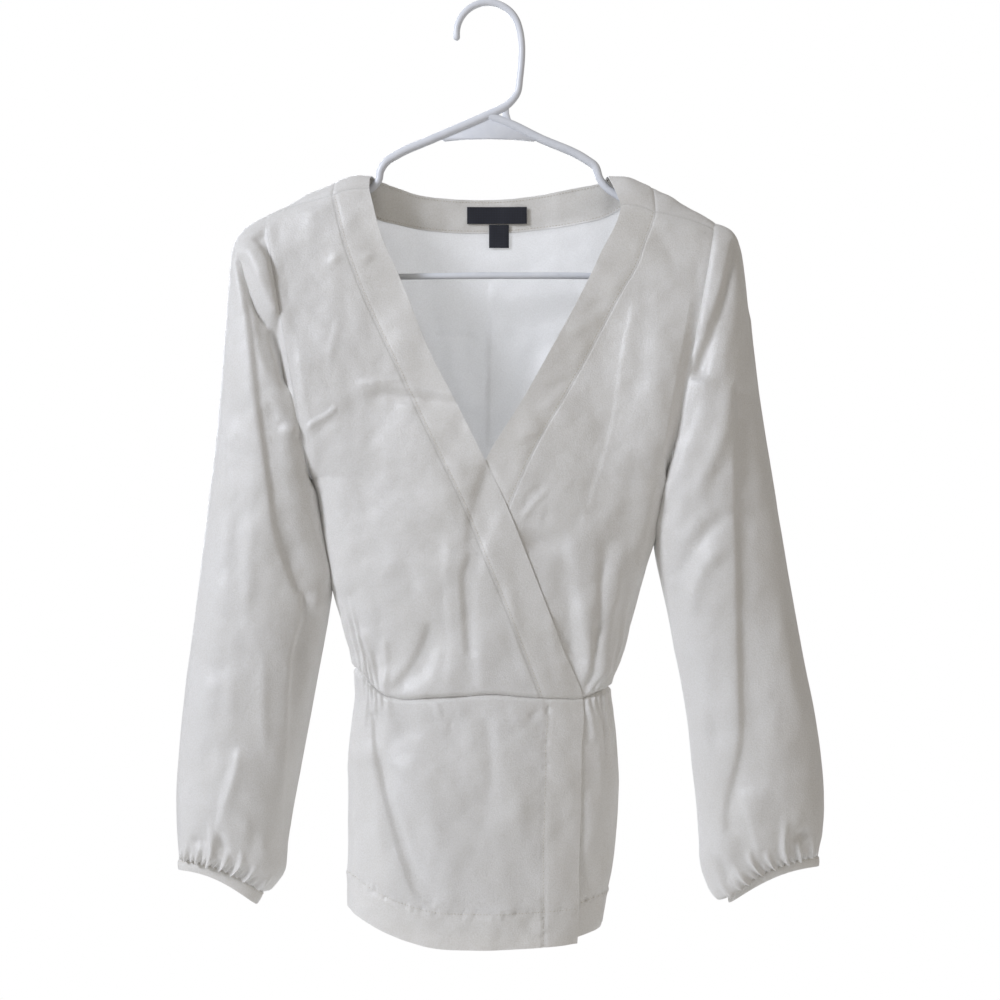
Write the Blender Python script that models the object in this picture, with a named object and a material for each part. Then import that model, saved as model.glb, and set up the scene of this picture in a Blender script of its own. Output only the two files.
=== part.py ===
"""A long-sleeved wrap top with a gathered waist and a peplum, hung on a plastic tube hanger.

Tables and lengths below are in millimetres; meshes are made in metres, with +Z up. The front faces
-Y and the wearer's right is -X. The origin is the middle of the hook's tube at its highest point,
where a rail carries it.

The cloth's pieces lie on one form. At a place x and a height z the form's half depth is known, so
a piece is a grid of places with a side, front or back, and its wall grows both ways from there.
"""

import math

import bpy
import numpy as np

MM = 0.001

# Walls and clearances
CLOTH = 1.5  # the wall of a panel
BAND = 2.0  # the wall of a folded band
SEAM_GAP = 0.3  # between two pieces at a seam
LAP_DROP = 3.2  # how far the under front lies behind the over front
LAP_RAMP = (5.0, 22.0)  # beside the lap edge, where that drop is whole and where it is nothing

# The form
CREST = 8.0  # bends the reach over the shoulder into a drop below it
SHOULDER_RADIUS = 5.5  # how sharply the cloth turns over the hanger's arm
NECK_RADIUS = 22.0  # the same between the two neck points
NECK_HALF = 100.0  # half the width between the neck points
SIDE_POWER = 2.6  # 2 is an ellipse, more is squarer
UNDERARM = -397.1  # the height of the lowest point of both armholes
UNDERARM_SCOOP = 120.0  # how far above it the armhole reaches its full depth
ARMHOLE_DEPTH = 38.0  # the armhole's half depth
SCOOP_POWER = 2.4  # how fully that scoop is rounded
SIDE_CLEAR = 1.0  # between an armhole's plane and the middle of the wall beside it
SIDE_TURN = (60.0, 1.0)  # above the underarm, where the wall beside it turns flat, then sideways
SLOPE_STEP = 0.4  # the form's slopes are measured over this far
WAIST_SIDE = -565.0  # about where the waist seam meets the side seams
WAIST_MIDDLE = -577.0  # about where it meets the neck bands
HEM_HEIGHT = -770.0  # about where the hem lies
SAMPLES = 400  # for measuring along a seam or a hem

# The armholes lie in planes seen edge on from the front: x at a height, and x gained per height.
ARM_PLANE = {-1: (-185.4, -180.0, -0.1748), 1: (188.7, -186.7, 0.1911)}

# Heights of the cloth's top edge: x, z
SHOULDER_LINE = (
    (-225, -210), (-205, -190), (-185.4, -178.8), (-168, -170.8), (-146, -159.3), (-125, -148.2),
    (-112, -145.2), (-98.5, -144.5), (-70, -138), (-35, -132), (0, -130), (35, -132),
    (70, -138.5), (97.7, -145), (119.4, -147.8), (141, -157.5), (166, -171), (192, -185.9),
    (207, -196), (230, -215),
)

# The body: height, the wearer's right side x, the left side x, half depth
BODY = (
    (-100, -200, 200, 34), (-160, -190, 190, 36), (-220, -180, 180, 40), (-300, -165, 168, 44),
    (-397, -146.5, 147.5, 47), (-449, -137.4, 137.6, 46), (-490, -130.2, 127, 44),
    (-524, -119.5, 117, 41), (-545, -113, 108.5, 39), (-560, -109.5, 102.5, 38),
    (-575, -110.5, 100.5, 38), (-592, -113, 104.5, 39), (-632, -115.5, 108.5, 43),
    (-664, -116.5, 109, 46), (-698, -116.9, 106.5, 48), (-752, -117, 98, 51), (-790, -116, 92, 52),
)

# The lap edge of the over front, from the neck point to the hem: height, x
LAP_EDGE = (
    (-130, -100.5), (-145, -100), (-157.1, -98.5), (-167.1, -96), (-194.5, -89), (-229, -74.6),
    (-247.5, -67), (-295.4, -47.2), (-334, -26.7), (-381.3, -3), (-414.7, 13.3), (-448, 27),
    (-490, 43.5), (-538.7, 62.2), (-578, 78), (-620, 77), (-690, 75.8), (-738, 75), (-790, 73.3),
)
# The neck edge of the under front, down behind the lap to the waist: height, x
UNDER_EDGE = (
    (-150, 100), (-159.8, 107), (-172.3, 110), (-182.5, 107.5), (-211.5, 93), (-230.8, 84),
    (-283.9, 56), (-334, 27.9), (-382.1, -1.4), (-414.7, -15), (-450, -27), (-540, -60),
    (-580, -75), (-790, -80),
)
# The seams of the neck bands to the fronts: height, x
OVER_BAND_SEAM = (
    (-150, -129.5), (-163.7, -128.8), (-180, -125), (-198, -120.5), (-243, -104.5),
    (-269, -93), (-303.6, -76.5), (-331.6, -63.3), (-380, -39.5), (-414.7, -22.5),
    (-450.5, -7.5), (-510, 17), (-580, 44),
)
UNDER_BAND_SEAM = (
    (-155, 140.5), (-177, 138.8), (-190, 134.8), (-201, 130.3), (-221.5, 123.4), (-243, 111),
    (-274, 94.3), (-317.6, 71.2), (-365.8, 42.6), (-414.7, 20), (-450, 6), (-540, -25),
    (-580, -39),
)
BAND_LAG = 10.0  # how far below its free edge a front band's seam is paired, so rows run square

# The waist seam: x, z
WAIST_FRONT = (
    (-112, -553), (-108.6, -555), (-104, -558), (-99, -562.5), (-93.8, -569.2), (-87.3, -575),
    (-74.2, -578.6), (-45, -577.5), (-16, -575.8), (2, -574.5), (33, -577), (60, -578.5),
    (78, -578.6), (92, -574), (102.2, -570), (106, -569),
)
WAIST_BACK = (
    (-112, -553), (-108.6, -555), (-95, -563), (-75, -571), (-40, -575.5), (0, -576.5),
    (40, -577), (75, -575.5), (102.2, -570), (106, -569),
)
# The hem: x, z
HEM_OVER = (
    (-125, -752), (-117, -753), (-101, -760.5), (-80.5, -769.5), (-48, -778.5), (-8, -780.5),
    (42, -779.5), (73.5, -778.7), (90, -778),
)
HEM_UNDER = (
    (-90, -757), (-55, -767), (-10, -772), (40, -772.5), (74.4, -774.5), (90, -771), (102, -767.5),
)
HEM_BACK = ((-125, -752), (-117, -753), (-80, -765), (0, -773), (70, -772), (98, -767.5))

# The back neck band, paired across: seam x and reach, upper edge x and reach. A reach is how far
# a place lies past the top of the shoulder, backwards if it is more than nothing.
NECK_BACK = (
    (-128.8, -18.9, -98.5, -18.2), (-127.5, -3, -98, -5), (-122, 13, -95, 5),
    (-111, 28, -86, 13), (-95.5, 41, -74, 21), (-78, 50, -60, 28.5), (-60, 57.5, -46, 33),
    (-40, 63, -31, 36), (-20, 65.8, -15, 37.8), (0, 66.5, 0, 38.3), (20, 65.3, 16, 37.2),
    (40, 61.5, 32, 34.5), (60, 55.7, 48, 30), (80, 48, 63, 24), (99, 39, 78, 18.2),
    (116, 27.5, 90, 13), (129.5, 13, 97.5, 7), (137, -5, 101.5, -8), (138.8, -26.8, 110, -32),
)
STRAP_ROWS = 4  # how many of its steps at each end run over a shoulder
# The shoulder seams, from the armhole to the neck band's seam: x, reach
SHOULDER_SEAM = {
    -1: ((-185.3, -4.5), (-174, -5), (-163, -7), (-152, -10.5), (-140, -15), (-128.8, -18.9)),
    1: ((188.8, -12.5), (179, -14), (169, -16.5), (159, -20), (149, -23.5), (138.8, -26.8)),
}

# Rows of the bodice, as shares of the way from the seam to the underarm and on to the waist
ARMHOLE_ROWS = (0, 0.03, 0.07, 0.13, 0.22, 0.34, 0.48, 0.64, 0.8, 0.93, 1)
SIDE_ROWS = (0.2, 0.4, 0.58, 0.74, 0.88, 1)
PEPLUM_ROWS = (0, 0.05, 0.12, 0.21, 0.33, 0.48, 0.65, 0.82, 1)

# Gathers at the waist, at the end of each half seam: how many columns, how wide each is at the seam
GATHERS = {"over": (10, 4.2), "under": (8, 3.8), "back": (5, 4.6)}
# Each gather from the side seam inwards: how high it stands and how far it runs from the seam
GATHER_HEIGHT = (0, 1.7, 1.2, 1.8, 1.1, 1.6, 1.0, 1.5, 0.8, 1.2, 0.5)
GATHER_LENGTH = (1, 52, 34, 60, 30, 48, 38, 56, 28, 40, 30)
GATHER_AT_SEAM = 0.55  # the share of its height that a gather has in the seam itself
GATHER_RISE = 9.0  # how far from the seam it stands whole
GATHER_WHOLE = 0.25  # the share of its length over which it stays whole
FRONT_COLUMNS = 15
BAND_COLUMNS = 2

# Sleeve rings: outer x and z, inner x and z, half depth, rise of the front and back, gathers' height
SLEEVE_RIGHT = (
    (-185.4, -178.7, -147.5, -397.1, 38, 0, 0), (-204, -190, -146.1, -412, 38, 0, 0),
    (-213.3, -206.5, -143.3, -428, 37, 0, 0), (-216, -236, -140.3, -445, 36, 0, 0),
    (-219, -280, -136.6, -466, 35, 0, 0), (-223.2, -332, -132.9, -488, 34, 0, 0),
    (-228.8, -385, -132.5, -509, 34, 0, 0), (-235.5, -438, -136.8, -534, 34, 0, 0),
    (-242, -495, -142.8, -566, 35, 0, 0), (-249, -548, -149, -600, 36, 0, 0.2),
    (-255.2, -600, -156.2, -638, 37, 0, 0.6), (-258.8, -645, -162.5, -672, 37, 0, 1.1),
    (-259.6, -680, -167, -700, 35, 1, 1.7), (-258.6, -701, -169.6, -722, 30, 3, 2.0),
    (-257.8, -709.5, -176.3, -735.5, 25, 6, 1.8), (-257.8, -715, -192.1, -743.4, 17, 9, 1.1),
)
SLEEVE_LEFT = (
    (188.9, -184.8, 148.5, -397.1, 38, 0, 0), (203, -191.5, 146.9, -412, 38, 0, 0),
    (210.3, -204.8, 143.8, -428, 37, 0, 0), (214.5, -231, 140.6, -445, 36, 0, 0),
    (219, -275, 140.2, -465, 35, 0, 0), (226, -329, 145.5, -489, 34, 0, 0),
    (234.2, -380, 150.5, -512, 34, 0, 0), (243, -434, 156, -541, 34, 0, 0),
    (253, -491, 162, -571, 35, 0, 0), (262.8, -545, 167, -602, 36, 0, 0.2),
    (272, -592, 170.4, -637, 37, 0, 0.6), (278.6, -637, 174.5, -671, 37, 0, 1.1),
    (280.2, -668, 176.6, -699, 35, 1, 1.7), (278.6, -692, 177.8, -719, 30, 3, 2.0),
    (276.2, -705, 185, -733.5, 25, 6, 1.8), (275.2, -712.4, 206.5, -744, 17, 9, 1.1),
)
SLEEVE_COLUMNS = 40
HEAD_BLEND = (0.0, 0.35, 0.7, 0.92)  # from the armhole's own shape to the ring's, ring by ring
UNDERARM_BLEND = 45.0  # above the underarm, over which the sleeve turns down from its armhole
UNDERARM_CLEAR = 0.85  # how far the sleeve's lowest point is kept off the side seam
# Cuffs: the lower ring's outer x and z, inner x and z, half depth, rise
CUFF_RIGHT = (-257.8, -723.6, -189, -751, 16.5, 9)
CUFF_LEFT = (275.8, -720.6, 202.5, -751.6, 16.5, 9)

# The largest folds of the front: the piece, three places x and z, width, height
FOLDS = (
    ("bodice_front_right", (-106, -322), (-66, -331), (-30, -334), 9, 2.2),
    ("bodice_front_left", (107, -318), (96, -378), (80, -426), 10, 2.0),
    ("bodice_front_left", (82, -562), (74, -530), (66, -488), 11, 2.6),
    ("peplum_front_right", (-94, -620), (-74, -700), (-56, -745), 11, 3.5),
    ("peplum_front_left", (89, -592), (91, -630), (92, -680), 6, 2.4),
    ("sleeve_right", (-206, -214), (-186, -268), (-166, -314), 10, -3.5),
    ("sleeve_right", (-192, -330), (-170, -430), (-158, -490), 12, 4.0),
    ("sleeve_right", (-160, -520), (-168, -620), (-178, -700), 12, 3.0),
    ("sleeve_left", (201, -212), (191, -250), (182, -300), 10, 3.5),
    ("sleeve_left", (209, -340), (210, -560), (198, -690), 12, 4.0),
)

# Labels on the inside of the back: the middle's x, the top's z, width, height
LABEL_WALL = 1.0
LABEL_CLEAR = 0.8  # behind a label, as its cloth doesn't bend as the band does
LABEL_MAIN = (7.5, -166.8, 51, 14.2)
LABEL_SIZE = (9.2, -181.6, 17, 19.5)

# The hanger
TUBE = 2.9  # the radius of the hook's tube
HOOK_RADIUS = 26.4
HOOK_START = -6.0  # degrees, at the hook's tip
HOOK_SWEEP = 186.0
HOOK_STEPS = 12
WEB_WALL = 2.4
TUBE_SIDES = 8
# Places along the hanger after the hook's bend: x, z, radius
SHANK_AND_ARM = (
    (26.4, -64, 2.9), (24.6, -75, 3.0), (17.5, -84.5, 3.2), (7, -90.8, 3.5), (-4, -95.8, 3.6),
    (-47.6, -114.6, 3.6), (-76, -127.2, 3.6), (-85.5, -133.6, 3.5), (-90, -141, 3.3),
    (-91.3, -148.5, 3.1), (-95.5, -153.8, 3.1), (-103, -158.6, 3.4), (-150, -180.4, 3.6),
    (-188, -197.4, 3.6), (-199.5, -204, 3.6), (-204.6, -212, 3.5), (-203, -221, 3.4),
    (-195, -227.4, 3.2), (-180, -228.2, 2.9), (0, -228.2, 2.8), (60, -228.2, 2.8),
)
OTHER_ARM = (
    (0.5, -94.5, 3.3), (16.7, -100.6, 3.6), (42.6, -113.2, 3.6), (82, -131.4, 3.6),
    (89.3, -136.8, 3.5), (93.2, -147, 3.2), (98.5, -154.4, 3.1), (109, -161.6, 3.4),
    (150, -180.6, 3.6), (188, -198.2, 3.6), (198.5, -204.6, 3.6), (203.6, -212.4, 3.5),
    (202, -221, 3.4), (194, -227.4, 3.2), (180, -228.2, 2.9), (59, -228.2, 2.8),
)
# The web under the hook: its outline, x and z
WEB_UNDER = (
    (-3, -96.5), (-42, -113), (-36, -116.2), (-20, -114.6), (0, -114.1), (20, -114.6), (38, -116.2),
    (43, -113.4), (4, -96.5),
)
WEB_BESIDE = ((12, -90), (17.4, -86), (17.6, -93), (20, -101), (12, -98))


# Curves through tables ---------------------------------------------------------------------------


def smooth(table, at):
    """The second column of a table at values of its first, along a curve through every row."""
    keys, values = np.array(sorted(table), float).T
    at = np.clip(np.asarray(at, float), keys[0], keys[-1])
    slopes = np.gradient(values, keys)
    cell = np.clip(np.searchsorted(keys, at, side="right") - 1, 0, len(keys) - 2)
    width = keys[cell + 1] - keys[cell]
    t = (at - keys[cell]) / width
    start = values[cell] * (1 + 2 * t) * (1 - t) ** 2 + slopes[cell] * width * t * (1 - t) ** 2
    end = values[cell + 1] * t**2 * (3 - 2 * t) + slopes[cell + 1] * width * t**2 * (t - 1)
    return start + end


def ease(value, low, high):
    """Goes from 0 at low to 1 at high, level at both ends."""
    t = np.clip((np.asarray(value, float) - low) / (high - low), 0, 1)
    return t * t * (3 - 2 * t)


def unit(vectors):
    """Vectors with a length of 1."""
    return vectors / np.maximum(np.linalg.norm(vectors, axis=-1, keepdims=True), 1e-12)


# The form ----------------------------------------------------------------------------------------


def arm_plane_x(hand, z):
    """Where an armhole's plane stands at a height; hand is -1 for the wearer's right."""
    x, height, slope = ARM_PLANE[hand]
    return x - (height - z) * slope


def side_x(hand, z):
    """The body's edge: the armhole's plane above the underarm, and the side seam below it."""
    column = 1 if hand < 0 else 2
    side = smooth([(row[0], row[column]) for row in BODY], z)
    return np.where(np.asarray(z) > UNDERARM + 0.5, arm_plane_x(hand, z), side)


def depth_squared(x, z):
    """The square of the form's half depth, which is nothing on its outline."""
    right, left = side_x(-1, z), side_x(1, z)
    across = np.clip(np.abs(2 * x - left - right) / (left - right), 0, 1) ** SIDE_POWER
    middle = smooth([(row[0], row[3]) for row in BODY], z) ** 2
    scoop = np.clip((z - UNDERARM) / UNDERARM_SCOOP, 0, 1)
    edge = ARMHOLE_DEPTH**2 * (1 - (1 - scoop) ** SCOOP_POWER)
    body = middle * (1 - across) + edge * across
    drop = np.maximum(smooth(SHOULDER_LINE, x) - z, 0)
    neck = np.clip(np.abs(x) / NECK_HALF, 0, 1)
    radius = SHOULDER_RADIUS + (NECK_RADIUS - SHOULDER_RADIUS) * np.cos(neck * math.pi / 2) ** 2
    over = 2 * radius * drop
    return body * over / (body + over + 1e-9)


def on_form(x, z, side):
    """Points on the form and the directions in which its wall grows; side is -1 in front."""
    x, z, side = np.broadcast_arrays(
        np.asarray(x, float), np.asarray(z, float), np.asarray(side, float)
    )
    y = side * np.sqrt(depth_squared(x, z))
    step = SLOPE_STEP
    slope_x = (depth_squared(x + step, z) - depth_squared(x - step, z)) / (2 * step)
    slope_z = (depth_squared(x, z + step) - depth_squared(x, z - step)) / (2 * step)
    return np.stack([x, y, z], -1), unit(np.stack([-slope_x, 2 * y, -slope_z], -1))


def reach_at(x, z):
    """How far past the top of the shoulder a height lies, without its sign."""
    drop = np.maximum(smooth(SHOULDER_LINE, x) - z, 0)
    return np.sqrt((drop + CREST) ** 2 - CREST**2)


def height_at(x, reach):
    """The height of a place with a reach over the shoulder."""
    return smooth(SHOULDER_LINE, x) - (np.sqrt(np.asarray(reach) ** 2 + CREST**2) - CREST)


# Grids and solids --------------------------------------------------------------------------------


def patch(top, bottom, first, last, down):
    """Fills a four-sided piece from its edges; rows run down, and columns from first to last."""
    top, bottom, first, last = (np.array(e, float) for e in (top, bottom, first, last))
    first[0], first[-1], last[0], last[-1] = top[0], bottom[0], top[-1], bottom[-1]
    along = (top[:, 0] - top[0, 0]) / (top[-1, 0] - top[0, 0])
    along = along + (bottom[:, 0] - bottom[0, 0]) / (bottom[-1, 0] - bottom[0, 0])
    u, v = (along / 2)[None, :, None], np.asarray(down, float)[:, None, None]
    edges = (1 - v) * top[None] + v * bottom[None] + (1 - u) * first[:, None] + u * last[:, None]
    corners = (1 - u) * ((1 - v) * top[0] + v * bottom[0]) + u * ((1 - v) * top[-1] + v * bottom[-1])
    return edges - corners


def numbers(points, closed=False):
    """The point numbers of a grid, with the first column again at the end if it closes round."""
    grid = np.arange(points.shape[0] * points.shape[1]).reshape(points.shape[:2])
    return np.hstack([grid, grid[:, :1]]) if closed else grid


def draw_back(points, normals, line, inside):
    """Moves a line of points back by half a seam gap, in the cloth and square to the line."""
    way = unit(np.cross(normals[line], np.gradient(points[line], axis=0)))
    if np.sum(way * (points[inside] - points[line])) < 0:
        way = -way
    points[line] += way * SEAM_GAP / 2


def trim(points, normals, edges):
    """Draws the named edges of a grid back from their seams."""
    grid = numbers(points)
    flat, out = points.reshape(-1, 3), normals.reshape(-1, 3)
    lines = {
        "top": (grid[0], grid[1]),
        "bottom": (grid[-1], grid[-2]),
        "first": (grid[:, 0], grid[:, 1]),
        "last": (grid[:, -1], grid[:, -2]),
    }
    for edge in edges:
        draw_back(flat, out, *lines[edge])


def split(corners, quad):
    """The two triangles of a quad, cut along its shorter diagonal."""
    a, b, c, d = quad
    if np.linalg.norm(corners[a] - corners[c]) <= np.linalg.norm(corners[b] - corners[d]):
        return [(a, b, c), (a, c, d)]
    return [(a, b, d), (b, c, d)]


def wall(points, normals, grids, thickness):
    """The corners and faces of a wall of a thickness about points that lie on joined grids."""
    points, normals = points.reshape(-1, 3), normals.reshape(-1, 3)
    count = len(points)
    cells = []
    for grid in grids:
        for i in range(grid.shape[0] - 1):
            for a, b, c, d in strip(grid[i], grid[i + 1]):
                cells += split(points, (a, b, c, d))
    half = normals * thickness / 2
    corners = np.concatenate([points + half, points - half])
    faces = cells + [(c + count, b + count, a + count) for a, b, c in cells]
    sides = {(a, b) for cell in cells for a, b in zip(cell, cell[1:] + cell[:1])}
    for a, b in sorted(side for side in sides if side[::-1] not in sides):
        faces += split(corners, (b, a, a + count, b + count))
    return corners, faces


def strip(a, b):
    """Quads between two rows of point numbers."""
    return [(a[i], a[i + 1], b[i + 1], b[i]) for i in range(len(a) - 1)]


def volume(corners, faces):
    """The volume inside the faces, less than nothing if they face inwards."""
    total = 0.0
    for face in faces:
        a = corners[face[0]]
        for b, c in zip(face[1:-1], face[2:]):
            total += np.dot(a, np.cross(corners[b], corners[c])) / 6
    return total


def solid(name, corners, faces, material):
    """An object of a closed mesh given in millimetres, with its faces turned outwards."""
    if volume(corners, faces) < 0:
        faces = [tuple(reversed(face)) for face in faces]
    mesh = bpy.data.meshes.new(name)
    mesh.from_pydata((corners * MM).tolist(), [], [tuple(int(n) for n in f) for f in faces])
    mesh.materials.append(material)
    mesh.shade_smooth()
    item = bpy.data.objects.new(name, mesh)
    bpy.context.scene.collection.objects.link(item)
    return item


def fold_heights(name, x, z):
    """How far a piece's named folds lift its front at places x and z."""
    lift = np.zeros(np.shape(x))
    place = np.stack([x, z], -1)
    for piece, *corners, width, height in FOLDS:
        if piece != name:
            continue
        for k in range(2):
            start, end = np.array(corners[k], float), np.array(corners[k + 1], float)
            share = np.clip(((place - start) @ (end - start)) / np.dot(end - start, end - start), 0, 1)
            away = np.linalg.norm(place - start - share[..., None] * (end - start), axis=-1)
            taper = np.sin(math.pi * (0.08 + 0.84 * (k + share) / 2))
            one = height * taper * np.exp(-((away / width) ** 2))
            lift = np.where(np.abs(one) > np.abs(lift), one, lift)
    return lift


def under_lap(x, z):
    """How far the under front and all on it lie behind the form, near and behind the lap."""
    past = np.asarray(x) - smooth(LAP_EDGE, z)
    return -LAP_DROP * (1 - ease(past, *LAP_RAMP))


# The bodice --------------------------------------------------------------------------------------


def seam_stations(waist, side, hand, gathers, end_x, columns):
    """Places along a waist seam from a side: narrow where it is gathered, and wide to its end."""
    count, width = GATHERS[gathers]
    start_x = side_x(hand, smooth(waist, side_x(hand, WAIST_SIDE)))
    x = start_x + (end_x - start_x) * np.linspace(0, 1, SAMPLES) ** 2
    length = length_along(on_form(x, smooth(waist, x), side)[0])
    narrow = np.arange(count) * width
    wide = np.linspace(count * width, length[-1], columns - count + 1)
    return np.interp(np.concatenate([narrow, wide]), length, x)


def length_along(points):
    """How far along a line of points each one lies."""
    return np.concatenate([[0], np.cumsum(np.linalg.norm(np.diff(points, axis=0), axis=1))])


def gather_lift(columns, count, seam_distance, from_last=False):
    """The gathers' ridges and furrows: one column up and the next down, near the waist seam."""
    lift = np.zeros(seam_distance.shape)
    for k in range(1, count):
        column = columns - k if from_last else k
        away = seam_distance[:, column]
        near = GATHER_AT_SEAM + (1 - GATHER_AT_SEAM) * ease(away, 0, GATHER_RISE)
        fade = 1 - ease(away, GATHER_WHOLE * GATHER_LENGTH[k], GATHER_LENGTH[k])
        lift[:, column] = (1 if k % 2 else -1) * GATHER_HEIGHT[k] * near * fade
    return lift


def edge_normals(points, normals, hand, side):
    """Squares a side edge's wall to its seam: in the armhole's plane, then across the side seam."""
    across = unit(np.array([1.0, 0.0, -ARM_PLANE[hand][2]]))
    normals = normals - (normals @ across)[:, None] * across
    flat, sideways = SIDE_TURN
    normals[points[:, 2] < UNDERARM + flat] = (0, side, 0)
    normals[points[:, 2] < UNDERARM + sideways] = (hand, 0, 0)
    return unit(normals)


def on_arm_plane(hand, reach):
    """Where a reach over the shoulder's end meets the armhole's plane: its x."""
    x = ARM_PLANE[hand][0]
    for _ in range(8):
        x = float(arm_plane_x(hand, height_at(x, reach)))
    return x


def shoulder_seam(hand):
    """The corners of a shoulder seam, x and reach, from the armhole's plane to the neck band."""
    seam = np.array(SHOULDER_SEAM[hand])
    seam[0, 0] = on_arm_plane(hand, seam[0, 1])
    return seam


def side_rows(hand, waist, side):
    """Places x and reach down a bodice's side edge, and how far down each row lies."""
    start_reach = SHOULDER_SEAM[hand][0][1]
    underarm_x = float(arm_plane_x(hand, UNDERARM)) - hand * SIDE_CLEAR
    underarm = float(reach_at(underarm_x, UNDERARM)) * side
    reaches = [start_reach + (underarm - start_reach) * f for f in ARMHOLE_ROWS]
    places = [(on_arm_plane(hand, reach), reach) for reach in reaches[:-1]]
    places.append((underarm_x, underarm))
    waist_z = float(smooth(waist, side_x(hand, WAIST_SIDE)))
    for f in SIDE_ROWS:
        z = UNDERARM + (waist_z - UNDERARM) * f
        x = float(side_x(hand, z))
        places.append((x, float(reach_at(x, z)) * side))
    places = np.array(places)
    down = (places[:, 1] - places[0, 1]) / (places[-1, 1] - places[0, 1])
    return places, down


def front_seams(hand):
    """The heights of a front's band edge and band seam, row by row, for a hand."""
    _, down = side_rows(hand, WAIST_FRONT, -1)
    seam_x, seam_reach, edge_x, edge_reach = NECK_BACK[0] if hand < 0 else NECK_BACK[-1]
    seam_table = OVER_BAND_SEAM if hand < 0 else UNDER_BAND_SEAM
    edge_table = LAP_EDGE if hand < 0 else UNDER_EDGE
    seam_top, edge_top = float(height_at(seam_x, seam_reach)), float(height_at(edge_x, edge_reach))
    seam_end = float(smooth(WAIST_FRONT, smooth(seam_table, WAIST_MIDDLE)))
    edge_end = float(smooth(WAIST_FRONT, smooth(edge_table, WAIST_MIDDLE)))
    lag = BAND_LAG * np.sin(math.pi * down)
    seam_z = seam_top + (seam_end - seam_top) * down - lag
    edge_z = edge_top + (edge_end - edge_top) * down
    seam = np.stack([smooth(seam_table, seam_z), seam_z], -1)
    edge = np.stack([smooth(edge_table, edge_z), edge_z], -1)
    seam[0], edge[0] = (seam_x, seam_top), (edge_x, edge_top)
    return seam, edge


def bodice_front(name, hand, material):
    """A front from its armhole and side seam to its neck band's seam."""
    over = hand < 0
    side_places, down = side_rows(hand, WAIST_FRONT, -1)
    seam, _ = front_seams(hand)
    seam_places = np.stack([seam[:, 0], -reach_at(seam[:, 0], seam[:, 1])], -1)
    coarse = shoulder_seam(hand)
    t = np.linspace(0, len(coarse) - 1, FRONT_COLUMNS + 1)
    top = np.stack([np.interp(t, range(len(coarse)), coarse[:, k]) for k in (0, 1)], -1)
    kind = "over" if over else "under"
    x = seam_stations(WAIST_FRONT, -1, hand, kind, seam[-1, 0], FRONT_COLUMNS)
    bottom = np.stack([x, -reach_at(x, smooth(WAIST_FRONT, x))], -1)
    places = patch(top, bottom, side_places, seam_places, down)
    x, z = places[..., 0], height_at(places[..., 0], places[..., 1])
    points, normals = on_form(x, z, -1)
    corner, direction = on_form(coarse[:, 0], height_at(coarse[:, 0], coarse[:, 1]), -1)
    for k in range(3):
        points[0, :, k] = np.interp(t, range(len(coarse)), corner[:, k])
        normals[0, :, k] = np.interp(t, range(len(coarse)), direction[:, k])
    normals = unit(normals)
    normals[:, 0] = edge_normals(points[:, 0], normals[:, 0], hand, -1)
    normals[-1, :, 2] = 0
    normals = unit(normals)
    lift = gather_lift(FRONT_COLUMNS, GATHERS[kind][0], z - smooth(WAIST_FRONT, x))
    inside = np.zeros(lift.shape)
    inside[1:-1, 1:-1] = 1
    lift = lift + fold_heights(name, x, z) * inside
    if not over:
        lift = lift + under_lap(x, z)
    points = points + normals * lift[..., None]
    trim(points, normals, ("top", "bottom", "first", "last"))
    return solid(name, *wall(points, normals, [numbers(points)], CLOTH), material)


def neckband_front(name, hand, material):
    """A front neck band, from its seam to the neck edge and from the shoulder to the waist."""
    seam, edge = front_seams(hand)
    t = np.linspace(0, 1, BAND_COLUMNS + 1)[None, :]
    x = seam[:, :1] * (1 - t) + edge[:, :1] * t
    z = seam[:, 1:] * (1 - t) + edge[:, 1:] * t
    z[-1] = smooth(WAIST_FRONT, x[-1])
    points, normals = on_form(x, z, -1)
    normals[-1, :, 2] = 0
    normals = unit(normals)
    if hand > 0:
        points = points + normals * under_lap(x, z)[..., None]
    trim(points, normals, ("top", "bottom", "first"))
    return solid(name, *wall(points, normals, [numbers(points)], BAND), material)


def neckband_back(name, material):
    """The back neck band, from one shoulder seam behind the neck to the other."""
    table = np.array(NECK_BACK)
    t = np.linspace(0, 1, BAND_COLUMNS + 1)[:, None]
    x = table[:, 0] * (1 - t) + table[:, 2] * t
    reach = table[:, 1] * (1 - t) + table[:, 3] * t
    points, normals = on_form(x, height_at(x, reach), np.where(reach < 0, -1, 1))
    trim(points, normals, ("top", "first", "last"))
    return solid(name, *wall(points, normals, [numbers(points)], BAND), material)


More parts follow.
